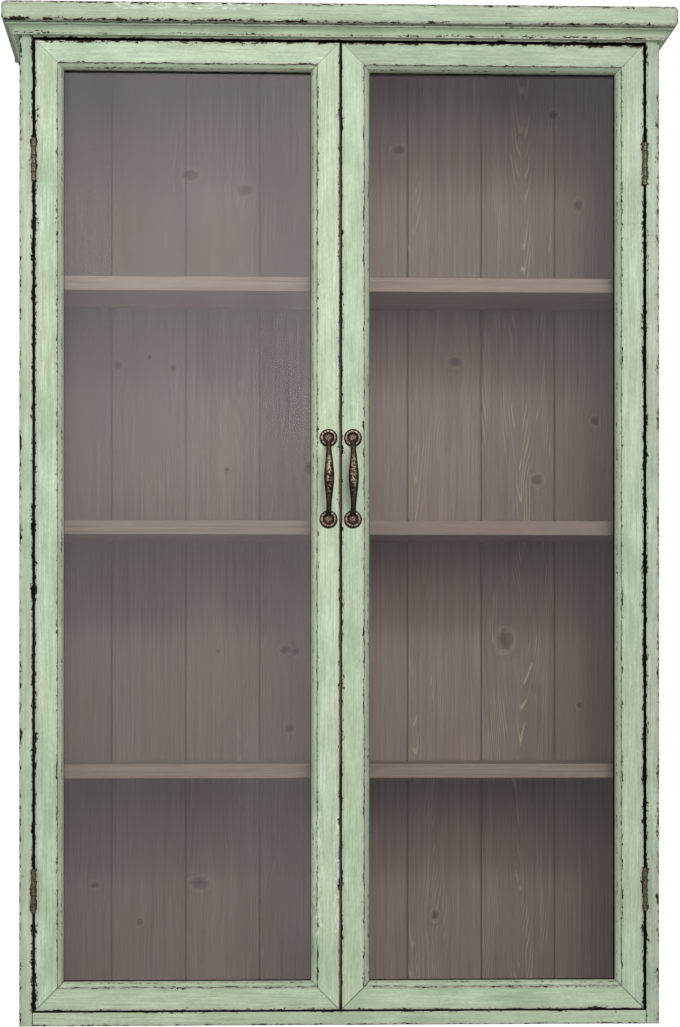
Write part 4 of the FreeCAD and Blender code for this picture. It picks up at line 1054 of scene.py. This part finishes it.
class CUPBOARD_OT_case_boards(bpy.types.Operator):
    """Add the side boards, the bottom and the ceiling of the case"""

    bl_idname = "cupboard.case_boards"
    bl_label = "Case boards"

    def execute(self, context):
        sizes = lengths(context)
        arris, rebate, notch = sizes.arris_radius, sizes.rebate_width, sizes.mortise_width
        for side, sign in SIDES:
            name = side + "_side_panel"
            low, high = node_box(name)
            back_low, _ = node_box("back_board_1")
            thick, deep, tall = high - low
            lip = back_low[1] - low[1]
            corners = [
                Corner(0, 0, arris, HEAVY, False, PAINT, 7.0),
                Corner(thick, 0, arris, HEAVY, pace=0.9),
                Corner(thick, deep, arris, SLIGHT, False, BARE), Corner(rebate, deep),
                Corner(rebate, lip, finish=STAIN), Corner(0, lip, finish=STAIN),
                Corner(0, PAINTED_DEPTH, finish=PAINT), Corner(0, notch + 0.05),
                Corner(0, notch),
            ]
            inner = high[0] if sign > 0 else low[0]
            notches = recesses("{}_{}_hinge_case_leaf", side, sizes, lambda z: z - low[2])
            part = strip_part(name, corners, (inner, low[1], low[2]),
                              ((-sign, 0, 0), (0, 1, 0), (0, 0, 1)), tall, notches=notches,
                              ease=0.8, end_wear=SLIGHT, gap=gap_at_edge, shade=SHADES[name])
            # Under the overhanging top the paint is darker towards the top: painted shadow of the
            # top and the crown.
            below = high[2] - part.points[:, 2]
            part.values["shade"] *= 1 - 0.1 * share(below, 120, 60) - 0.14 * share(below, 42, 28)
            dress(name, [part])
        for name in ("bottom_board", "ceiling_board"):
            low, high = node_box(name)
            wide, deep, thick = high - low
            bottom = name == "bottom_board"
            # The ceiling's upper front arris is a crease, so that the grime and painted shade of
            # the creases darken its front under the crown.
            corners = [
                Corner(0, 0, arris, HEAVY, pace=1.4),
                Corner(PAINTED_DEPTH, 0, finish=PAINT if bottom else STAIN),
                Corner(deep, 0, finish=BARE), Corner(deep, thick, finish=STAIN if bottom else BARE),
                Corner(PAINTED_DEPTH, thick),
                Corner(0, thick, arris, SLIGHT if bottom else SOME, crease=not bottom),
            ]

            def gap(u, v, face=thick if bottom else 0):
                return gap_at_edge(np.abs(v - face), u, 0.0 if bottom else EDGE_LIP)

            part = strip_part(name, corners, low, RIGHT_AXES, wide, gap=gap, shade=SHADES[name])
            dress(name, [part])
        return {"FINISHED"}


class CUPBOARD_OT_top_board(bpy.types.Operator):
    """Add the overhanging top board with rounded, chipped edges"""

    bl_idname = "cupboard.top_board"
    bl_label = "Top board"

    def execute(self, context):
        radius = lengths(context).top_radius
        low, high = node_box("top_board")
        wide, deep, thick = high - low
        corners = [
            Corner(0, 0, radius, HEAVY, pace=0.9), Corner(deep, 0, 0.6, RARE, False, BARE),
            Corner(deep, thick, 0.6, RARE), Corner(0, thick, radius, HEAVY, pace=0.55),
        ]
        part = strip_part("top_board", corners, low, RIGHT_AXES, wide, ease=1.6 * radius,
                          end_wear=RUINED, shade=SHADES["top_board"])
        # The front is rubbed pale in its upper half towards the left.
        points = part.points
        start, end = (on_plane(across, 9, low[1] * MM)[0] for across in TOP_RUB_PIXELS)
        within = share(points[:, 0], start, start + 20) * share(points[:, 0], end, end - 20)
        middle = low[2] + thick * 0.45
        upper = share(points[:, 2], middle, middle + 4) * (points[:, 1] < low[1] + 1)
        part.values["scuff"] = within * upper
        # Its lower arris has kept more paint towards the right, and its underside is darkened:
        # painted shade.
        worn = (points[:, 2] < low[2] + 6) & (points[:, 1] < low[1] + 8)
        part.values["arris"] += worn * (1.6 * share(points[:, 0], -130, 130) - 0.8)
        down = high[2] - points[:, 2]
        lip = (down < 8) & (points[:, 1] < low[1] + 8)
        part.values["arris"] = np.where(lip, np.maximum(down, 0) * 0.9 - 1.1, part.values["arris"])
        under = (points[:, 2] < low[2] + 0.4) & (points[:, 1] > low[1] + 3)
        part.values["shade"] *= np.where(under, 0.62, 1.0)
        dress("top_board", [part])
        return {"FINISHED"}


class CUPBOARD_OT_crown(bpy.types.Operator):
    """Add the crown moulding: a front length and two returns, mitred at the corners"""

    bl_idname = "cupboard.crown"
    bl_label = "Crown moulding"

    def execute(self, context):
        sizes = lengths(context)
        low, high = node_box("crown_moulding_front")
        _, back = node_box("crown_moulding_left")
        out, tall = (high - low)[1:]
        wide, deep = high[0] - low[0], back[1] - low[1]
        foot = out - sizes.crown_foot
        shoulder = tall - sizes.crown_fillet
        step, rise = sizes.crown_step, sizes.crown_rise
        radius = math.hypot(foot - step, shoulder - rise)
        corners = [
            Corner(foot, 0, 0.3, SLIGHT), Corner(out, 0), Corner(out, tall),
            Corner(0, tall, crease=True),
            Corner(0, shoulder, 0.4, SLIGHT), Corner(step, shoulder, crease=True),
            *[Corner(*spot) for spot in arc((step, shoulder), (foot, rise), -radius, 7)],
            Corner(foot, rise, 0.3, HEAVY, True),
        ]
        places = {
            "front": (low, wide, RIGHT_AXES, (1, 1)),
            "left": ((low[0], back[1], low[2]), deep, ((1, 0, 0), (0, 0, 1), (0, -1, 0)), (0, 1)),
            "right": ((high[0], low[1], low[2]), deep, ((-1, 0, 0), (0, 0, 1), (0, 1, 0)), (1, 0)),
        }
        for edge, (origin, length, axes, mitres) in places.items():
            name = "crown_moulding_" + edge
            # The returns are painted lighter than the front: painted light on the sides.
            part = strip_part(name, corners, origin, axes, length, mitres,
                              shade=1.0 if edge == "front" else 1.25)
            # Its members are too fine to carry the boards' chips, the grime and painted shade in
            # their creases, or the rubbing and painted highlight along their arrises.
            part.values["crease"] *= 2.4
            part.values["near"] += 0.6
            part.values["arris"] += 0.9
            dress(name, [part], sharp=25)
        return {"FINISHED"}


class CUPBOARD_OT_back_boards(bpy.types.Operator):
    """Add the matched back boards, with knots where the photograph shows them"""

    bl_idname = "cupboard.back_boards"
    bl_label = "Back boards"

    def execute(self, context):
        sizes = lengths(context)
        bevel, tongue = sizes.board_bevel, sizes.tongue_thick
        names = sorted(n for n in frame["nodes"] if n.startswith("back_board_"))
        edges = [node_box(name) for name in names]
        for index, name in enumerate(names):
            low, high = edges[index]
            last = index == len(names) - 1
            wide = (high[0] if last else edges[index + 1][0][0] - 0.3) - low[0]
            thick, tall = high[1] - low[1], high[2] - low[2]
            sides = ((thick - tongue) / 2, (thick + tongue) / 2)
            reach, slot = high[0] - low[0], sizes.tongue_length - PLAY
            corners = [
                Corner(bevel, 0, 0.3, finish=STAIN, spacing=3.2),
                Corner(wide - bevel, 0, 0.3, finish=STAIN),
                Corner(wide, bevel, crease=True, finish=STAIN)]
            if not last:
                corners += [Corner(x, y, finish=STAIN) for x, y in (
                    (wide, sides[0]), (reach, sides[0]), (reach, sides[1]), (wide, sides[1]))]
            corners += [Corner(wide, thick, 0, RARE, True, BARE),
                        Corner(0, thick, 0, RARE, True, STAIN)]
            if index:
                corners += [Corner(x, y, finish=STAIN) for x, y in (
                    (0, sides[1] + 0.1), (slot, sides[1] + 0.1), (slot, sides[0] - 0.1),
                    (0, sides[0] - 0.1))]
            corners += [Corner(0, bevel, crease=True, finish=STAIN)]
            part = strip_part(name, corners, low, UP_AXES, tall, step=3.6,
                              shade=BOARD_SHADES[index], tone=BOARD_TONES[index])
            part.values["knot"], part.values["bend"] = knot_values(part.points)
            part.values["heart"] = part.points[:, 0] - (low[0] + high[0]) / 2 - BOARD_HEARTS[index]
            dress(name, [part])
        return {"FINISHED"}


class CUPBOARD_OT_shelves(bpy.types.Operator):
    """Add the three shelves"""

    bl_idname = "cupboard.shelves"
    bl_label = "Shelves"

    def execute(self, context):
        for name in ("shelf_lower", "shelf_middle", "shelf_upper"):
            low, high = node_box(name)
            wide, deep, thick = high - low
            corners = [
                Corner(0, 0, 1.0, RARE, False, STAIN), Corner(deep, 0, 0.4, finish=STAIN),
                Corner(deep, thick, 0.4, finish=STAIN),
                Corner(0, thick, 1.0, RARE, False, STAIN, 3.0),
            ]
            part = strip_part(name, corners, low, RIGHT_AXES, wide, shade=SHADES[name], tone=0.2)
            # Each shelf is painted lighter on its left half and darker on its right: painted light.
            part.values["shade"] *= 1.02 - 0.15 * np.clip(part.points[:, 0] / 60, -1, 1)
            dress(name, [part])
        return {"FINISHED"}


class CUPBOARD_OT_doors(bpy.types.Operator):
    """Add the mitred, moulded members of both doors"""

    bl_idname = "cupboard.doors"
    bl_label = "Door members"

    def execute(self, context):
        sizes = lengths(context)
        for side, sign in SIDES:
            members = {"left": "hinge_stile", "right": "meeting_stile",
                       "top": "top_rail", "bottom": "bottom_rail"}
            if sign < 0:
                members["left"], members["right"] = members["right"], members["left"]
            rail_low, rail_high = node_box(side + "_bottom_rail")
            _, stile_high = node_box(side + "_hinge_stile")
            x, y, foot = rail_low
            for edge, (start, length, axes) in frame_places(
                    x, rail_high[0] - x, foot, stile_high[2] - foot).items():
                name = f"{side}_{members[edge]}"
                notches = [] if members[edge] != "hinge_stile" else recesses(
                    "{}_{}_hinge_door_leaf", side, sizes, lambda z: abs(z - start[1]))
                corners = member_corners(sizes, WEARS[members[edge]])
                lip = 0.0 if edge == "bottom" else EDGE_LIP

                def gap(u, v, lip=lip):
                    return gap_at_edge(u, v, lip)

                part = strip_part(name, corners, (start[0], y, start[1]), axes, length, (1, 1),
                                  notches=notches, gap=gap, shade=SHADES.get(name, 1.0))
                # The mitres have opened at the foot of the door.
                part.values["seam"] *= 0.5 + 1.1 * ((part.points[:, 2] - foot) / 1000) ** 2
                # The creases' grime and painted shade are strongest on the bottom rails, and
                # weakest on the left hinge stile, whose moulding is painted lighter as though it
                # faced the light.
                part.values["crease"] *= 0.7 if edge == "bottom" else 1.0
                part.values["crease"] *= 1.5 if name == "left_hinge_stile" else 1.0
                if members[edge] == "meeting_stile" and sign > 0:
                    # The left door's meeting stile is rubbed white low down.
                    height = part.points[:, 2]
                    low, high = (on_plane(340, down, y * MM)[2] for down in STILE_RUB_PIXELS)
                    inside = share(height, low, low + 30) * share(height, high, high - 30)
                    part.values["scuff"] = inside * np.clip(1.1 - part.values["arris"] / 30, 0, 1)
                dress(name, [part], sharp=25)
        return {"FINISHED"}


class CUPBOARD_OT_glass(bpy.types.Operator):
    """Add both panes of glass and the beads that hold them"""

    bl_idname = "cupboard.glass"
    bl_label = "Glass and beads"

    def execute(self, context):
        for side, sign in SIDES:
            low, high = node_box(side + "_glass")
            wide, thick, tall = high - low
            corners = [Corner(0, 0, 0.2, spacing=16), Corner(wide, 0, 0.2),
                       Corner(wide, thick, 0.2, spacing=16), Corner(0, thick, 0.2)]
            part = strip_part(side + "_glass", corners, low, UP_AXES, tall, step=16, ease=0.2)
            spots = part.points
            # The shade where the glass meets its rebate is deepest at the top.
            after, before = spots - low - GLASS_COVERED, -GLASS_COVERED - (spots - high)
            beside = np.minimum(after[:, 0] / 0.4, before[:, 0] / (0.4 if sign > 0 else 1.3))
            above = np.minimum(after[:, 2] / 0.9, before[:, 2] / 1.9)
            part.values["rim"] = np.stack((beside, above, above), -1)
            height = (spots[:, 2] - low[2]) / tall
            # The left pane's film is heavier and thickens towards the top: partly dust, partly a
            # painted reflection.
            part.values["haze"] = (0.1 + 0.03 * height) if sign > 0 else 0.035 + 0 * height
            dress(side + "_glass", [part], ("glass",))

            low, high = node_box(side + "_glazing_beads")
            deep = high[1] - low[1]
            corners = [Corner(0, 0, finish=STAIN), Corner(BEAD_WIDTH, 0, finish=STAIN),
                       Corner(BEAD_WIDTH, deep, 1.4, finish=STAIN), Corner(0, deep, 0.4)]
            # The beads' shade of 0.45 is painted shade, which darkens the rebate around the glass.
            parts = [strip_part(f"{side}_{edge}_bead", corners, (start[0], low[1], start[1]),
                                axes, length, (1, 1), step=12, shade=0.45, tone=0.2)
                     for edge, (start, length, axes) in frame_places(
                         low[0], high[0] - low[0], low[2], high[2] - low[2]).items()]
            dress(side + "_glazing_beads", parts)
        return {"FINISHED"}


def grip_part(name, sizes, origin):
    """The hammered grip of a pull, swept between its rosettes."""
    dice = seed(name)
    count, sides = 132, 44
    place = np.linspace(0, len(GRIP_LINE) - 1, count)
    first = np.minimum(place.astype(int), len(GRIP_LINE) - 2)
    t = (place - first)[:, None]
    line = GRIP_LINE[np.clip(np.array((first - 1, first, first + 1, first + 2)), 0,
                             len(GRIP_LINE) - 1)]
    curve = 0.5 * (2 * line[1] + (line[2] - line[0]) * t
                   + (2 * line[0] - 5 * line[1] + 4 * line[2] - line[3]) * t ** 2
                   + (3 * line[1] - line[0] - 3 * line[2] + line[3]) * t ** 3)
    along = curve[:, 0] * sizes.pull_pitch / 2
    out = curve[:, 1] * sizes.pull_standoff
    radius = curve[:, 2] * sizes.grip_width / 2
    lean = np.arctan2(np.gradient(out), np.gradient(along))
    run = np.concatenate(([0], np.cumsum(np.hypot(np.diff(along), np.diff(out)))))
    angle = np.arange(sides) / sides * math.tau
    # The hammer marks are 1.6 to 3.2 mm wide and keep off the thin ends, which are ridged.
    dent = np.zeros((count, sides))
    for _ in range(HAMMER_MARKS):
        centre = dice.triangular(run[18], run[count * 2 // 5], run[-30])
        turn = dice.uniform(0, math.tau)
        size = dice.uniform(0.8, 1.6)
        off = (angle[None, :] - turn + math.pi) % math.tau - math.pi
        gap = np.hypot(run[:, None] - centre, off * radius[:, None]) / size
        dent = np.maximum(dent, np.clip(1 - gap ** 2, 0, 1))
    worked = share(radius / (sizes.grip_width / 2), 0.6, 0.75)[:, None]
    ridges = 0.12 * np.cos(run[:, None] * 1.9 + 3 * np.sin(angle)[None, :]) * (1 - worked)
    size = radius[:, None] - dent * worked * sizes.hammer_depth + ridges
    across = size * np.cos(angle)
    up = size * np.sin(angle) * 0.9
    points = np.stack((across, out[:, None] + up * np.cos(lean)[:, None],
                       along[:, None] - up * np.sin(lean)[:, None]), -1)
    placed = np.array(origin) + points * np.array((1, -1, 1))
    quads, first, last = tube_faces(count, sides)
    faces = quads[:, (0, 3, 2, 1)].tolist() + [first[::-1], last[::-1]]
    # The front of the grip is worn brightest and its sides and thin ends stay dark: wear and
    # patina, and partly painted light and shade, as though the front faced the lamps and the sides
    # and necks turned from them. The dents are dark with patina.
    facing = np.clip(np.sin(angle), 0, 1) ** 2
    lift = 0.56 * facing - 0.17 - dent * worked * 0.55 - (1 - worked) * 0.16
    return Part(placed.reshape(-1, 3), faces, [0] * len(faces),
                plain_values(points.reshape(-1, 3), lift.ravel()))


def rosette_part(sizes, origin, axes):
    """A dished rosette with a lobed and beaded rim."""
    edge, dish = sizes.rosette_radius, sizes.recess_radius
    profile = [
        (edge - 0.3, 0), (edge, 0.3), (edge, 0.9), (edge - 0.35, 1.5), (edge - 0.9, 2.1),
        (edge - 1.4, 2.2), (edge - 2.0, 2.75), (edge - 2.8, 3.1), (edge - 3.6, 3.05),
        (dish + 0.4, 2.8), (dish + 0.05, 2.4), (dish - 0.1, 1.7), (dish - 0.6, 1.6), (0.3, 1.6)]
    points, faces, finishes, _ = turned_part(profile, (0, 0, 0), UP_AXES, 96)
    radii = np.hypot(points[:, 0], points[:, 1])
    turn = np.arctan2(points[:, 1], points[:, 0])
    rim = share(radii - dish, 0.5, 1.5) * (points[:, 2] > 0.2)
    lobes = np.abs(np.cos(turn * 6 + np.sin(turn * 3))) * rim
    points[:, 2] += (lobes - 0.7) * 0.22 * rim
    crest = np.clip(1.6 - np.abs(radii - (edge + dish) / 2 + 0.4) / 1.5, 0, 1)
    lift = -0.35 + crest * 0.5 + lobes * crest * 0.3
    placed = np.array(origin) + points @ np.array(axes, float)
    return Part(placed, faces, finishes, plain_values(points, lift))


class CUPBOARD_OT_pulls(bpy.types.Operator):
    """Add the cast bow pulls with dished rosettes, and their domed screws"""

    bl_idname = "cupboard.pulls"
    bl_label = "Pulls"

    def execute(self, context):
        sizes = lengths(context)
        for side, _ in SIDES:
            low, high = node_box(side + "_pull")
            x, z = (low[0] + high[0]) / 2, (low[2] + high[2]) / 2
            y = high[1]
            parts = [grip_part(side + "_grip", sizes, (x, y, z))]
            half = sizes.pull_pitch / 2
            axes = ((1, 0, 0), (0, 0, 1), (0, -1, 0))
            parts += [rosette_part(sizes, (x, y, z + half * end), axes) for end in (-1, 1)]
            dress(side + "_pull", parts, ("bronze",), 50)
            fasteners(side + "_pull_screws", "dome", "bronze")
        return {"FINISHED"}


class CUPBOARD_OT_hinges(bpy.types.Operator):
    """Add the leaves, knuckles and pins of the four butt hinges"""

    bl_idname = "cupboard.hinges"
    bl_label = "Hinges"

    def execute(self, context):
        sizes = lengths(context)
        radius, thick = sizes.knuckle_radius, sizes.plate_thick
        for (side, sign), level in itertools.product(SIDES, LEVELS):
            name = f"{side}_{level}_hinge"
            pin_low, pin_high = node_box(name + "_pin")
            axis, foot = (pin_low + pin_high) / 2, pin_low[2]
            length = pin_high[2] - foot
            knuckle = length / 5
            for leaf, away, owned in (("case_leaf", -sign, (0, 2, 4)),
                                      ("door_leaf", sign, (1, 3))):
                low, high = node_box(f"{name}_{leaf}")
                faces = sorted((axis[0] + away * (radius - thick), axis[0] + away * radius))
                room = axis[1] + radius + 0.3
                parts = [block_part((faces[0], room, foot),
                                    (faces[1], high[1], foot + length), 0.25)]
                for number in owned:
                    start = foot + knuckle * number + (PLAY if number else 0)
                    end = foot + knuckle * (number + 1) - (PLAY if number < 4 else 0)
                    parts.append(block_part((faces[0], axis[1], start),
                                            (faces[1], room + 0.4, end), 0.1))
                    tall = end - start
                    profile = [(1.4, 0), (radius - 0.3, 0), (radius, 0.3),
                               (radius, tall - 0.3), (radius - 0.3, tall), (1.4, tall)]
                    parts.append(turned_part(profile, (*axis[:2], start), UP_AXES, 36))
                for part in parts:
                    part.values["lift"] = np.full(len(part.points), 0.22)
                dress(f"{name}_{leaf}", parts, ("bronze",), 40)
            profile = [(0.3, -0.5), (1.0, -0.3), (1.3, 0.1), (1.3, length - 0.1),
                       (1.0, length + 0.3), (0.3, length + 0.5)]
            pin = turned_part(profile, (*axis[:2], foot), UP_AXES, 24)
            dress(name + "_pin", [pin], ("pin",), 40)
        return {"FINISHED"}


class CUPBOARD_OT_catches(bpy.types.Operator):
    """Add the magnetic catches under the ceiling and their strike plates"""

    bl_idname = "cupboard.catches"
    bl_label = "Catches"

    def execute(self, context):
        sizes = lengths(context)
        for side, _ in SIDES:
            low, high = node_box(side + "_catch_case")
            inner_low, inner_high = node_box(side + "_catch_magnet")
            middle = (low[0] + high[0]) / 2
            left, right = middle - sizes.catch_body / 2, middle + sizes.catch_body / 2
            ear = high[2] - sizes.ear_thick
            over, under = inner_high[2] + PLAY, inner_low[2] - PLAY
            spans = [
                ((low[0], low[1], ear), (high[0], high[1], high[2])),
                ((left, low[1], over), (right, high[1], ear + 0.2)),
                ((left, low[1], low[2]), (right, high[1], under)),
                ((left, low[1], under - 0.2), (inner_low[0] - PLAY, high[1], over + 0.2)),
                ((inner_high[0] + PLAY, low[1], under - 0.2), (right, high[1], over + 0.2)),
                ((left + 1, inner_high[1] + 0.2, under - 0.2), (right - 1, high[1], over + 0.2)),
            ]
            parts = [block_part(*span, 0.35) for span in spans]
            dress(side + "_catch_case", parts, ("plastic",), 40)
            for node, ease in (("_catch_magnet", 0.3), ("_strike_plate", 0.35)):
                dress(side + node, [block_part(*node_box(side + node), ease)], ("nickel",), 40)
        return {"FINISHED"}


class CUPBOARD_OT_fastenings(bpy.types.Operator):
    """Add the screws, nails, pegs and dowels"""

    bl_idname = "cupboard.fastenings"
    bl_label = "Fastenings"

    def execute(self, context):
        for name in ("case_screws", "left_door_screws", "right_door_screws", "top_board_screws"):
            fasteners(name, "screw", "zinc")
        fasteners("back_nails", "nail", "zinc")
        fasteners("shelf_pegs", "peg", "zinc")
        fasteners("carcass_dowels", "dowel", "bare")
        return {"FINISHED"}


STEPS = (CUPBOARD_OT_stage, CUPBOARD_OT_case_boards, CUPBOARD_OT_top_board, CUPBOARD_OT_crown,
         CUPBOARD_OT_back_boards, CUPBOARD_OT_shelves, CUPBOARD_OT_doors, CUPBOARD_OT_glass,
         CUPBOARD_OT_pulls, CUPBOARD_OT_hinges, CUPBOARD_OT_catches, CUPBOARD_OT_fastenings)


class CUPBOARD_PT_panel(bpy.types.Panel):
    """The cupboard's sizes, finishes and pieces"""

    bl_idname = "CUPBOARD_PT_panel"
    bl_label = "Glazed wall cupboard"
    bl_space_type = "VIEW_3D"
    bl_region_type = "UI"
    bl_category = "Cupboard"

    def draw(self, context):
        for step in STEPS:
            self.layout.operator(step.bl_idname)
        for group in (context.scene.cupboard_sizes, context.scene.cupboard_finish):
            box = self.layout.box()
            for name in group.__annotations__:
                box.prop(group, name)


CLASSES = (CupboardSizes, CupboardFinish, *STEPS, CUPBOARD_PT_panel)


def register():
    """Add the classes and the scene's properties."""
    for each in CLASSES:
        bpy.utils.register_class(each)
    bpy.types.Scene.cupboard_sizes = PointerProperty(type=CupboardSizes)
    bpy.types.Scene.cupboard_finish = PointerProperty(type=CupboardFinish)


def unregister():
    """Take the scene's properties and the classes away."""
    del bpy.types.Scene.cupboard_finish
    del bpy.types.Scene.cupboard_sizes
    for each in reversed(CLASSES):
        bpy.utils.unregister_class(each)


def main():
    """Build every piece in order."""
    register()
    for step in STEPS:
        group, name = step.bl_idname.split(".")
        done = getattr(getattr(bpy.ops, group), name)()
        if done != {"FINISHED"}:
            raise RuntimeError(step.bl_label + " was not built")


if __name__ == "__main__":
    main()
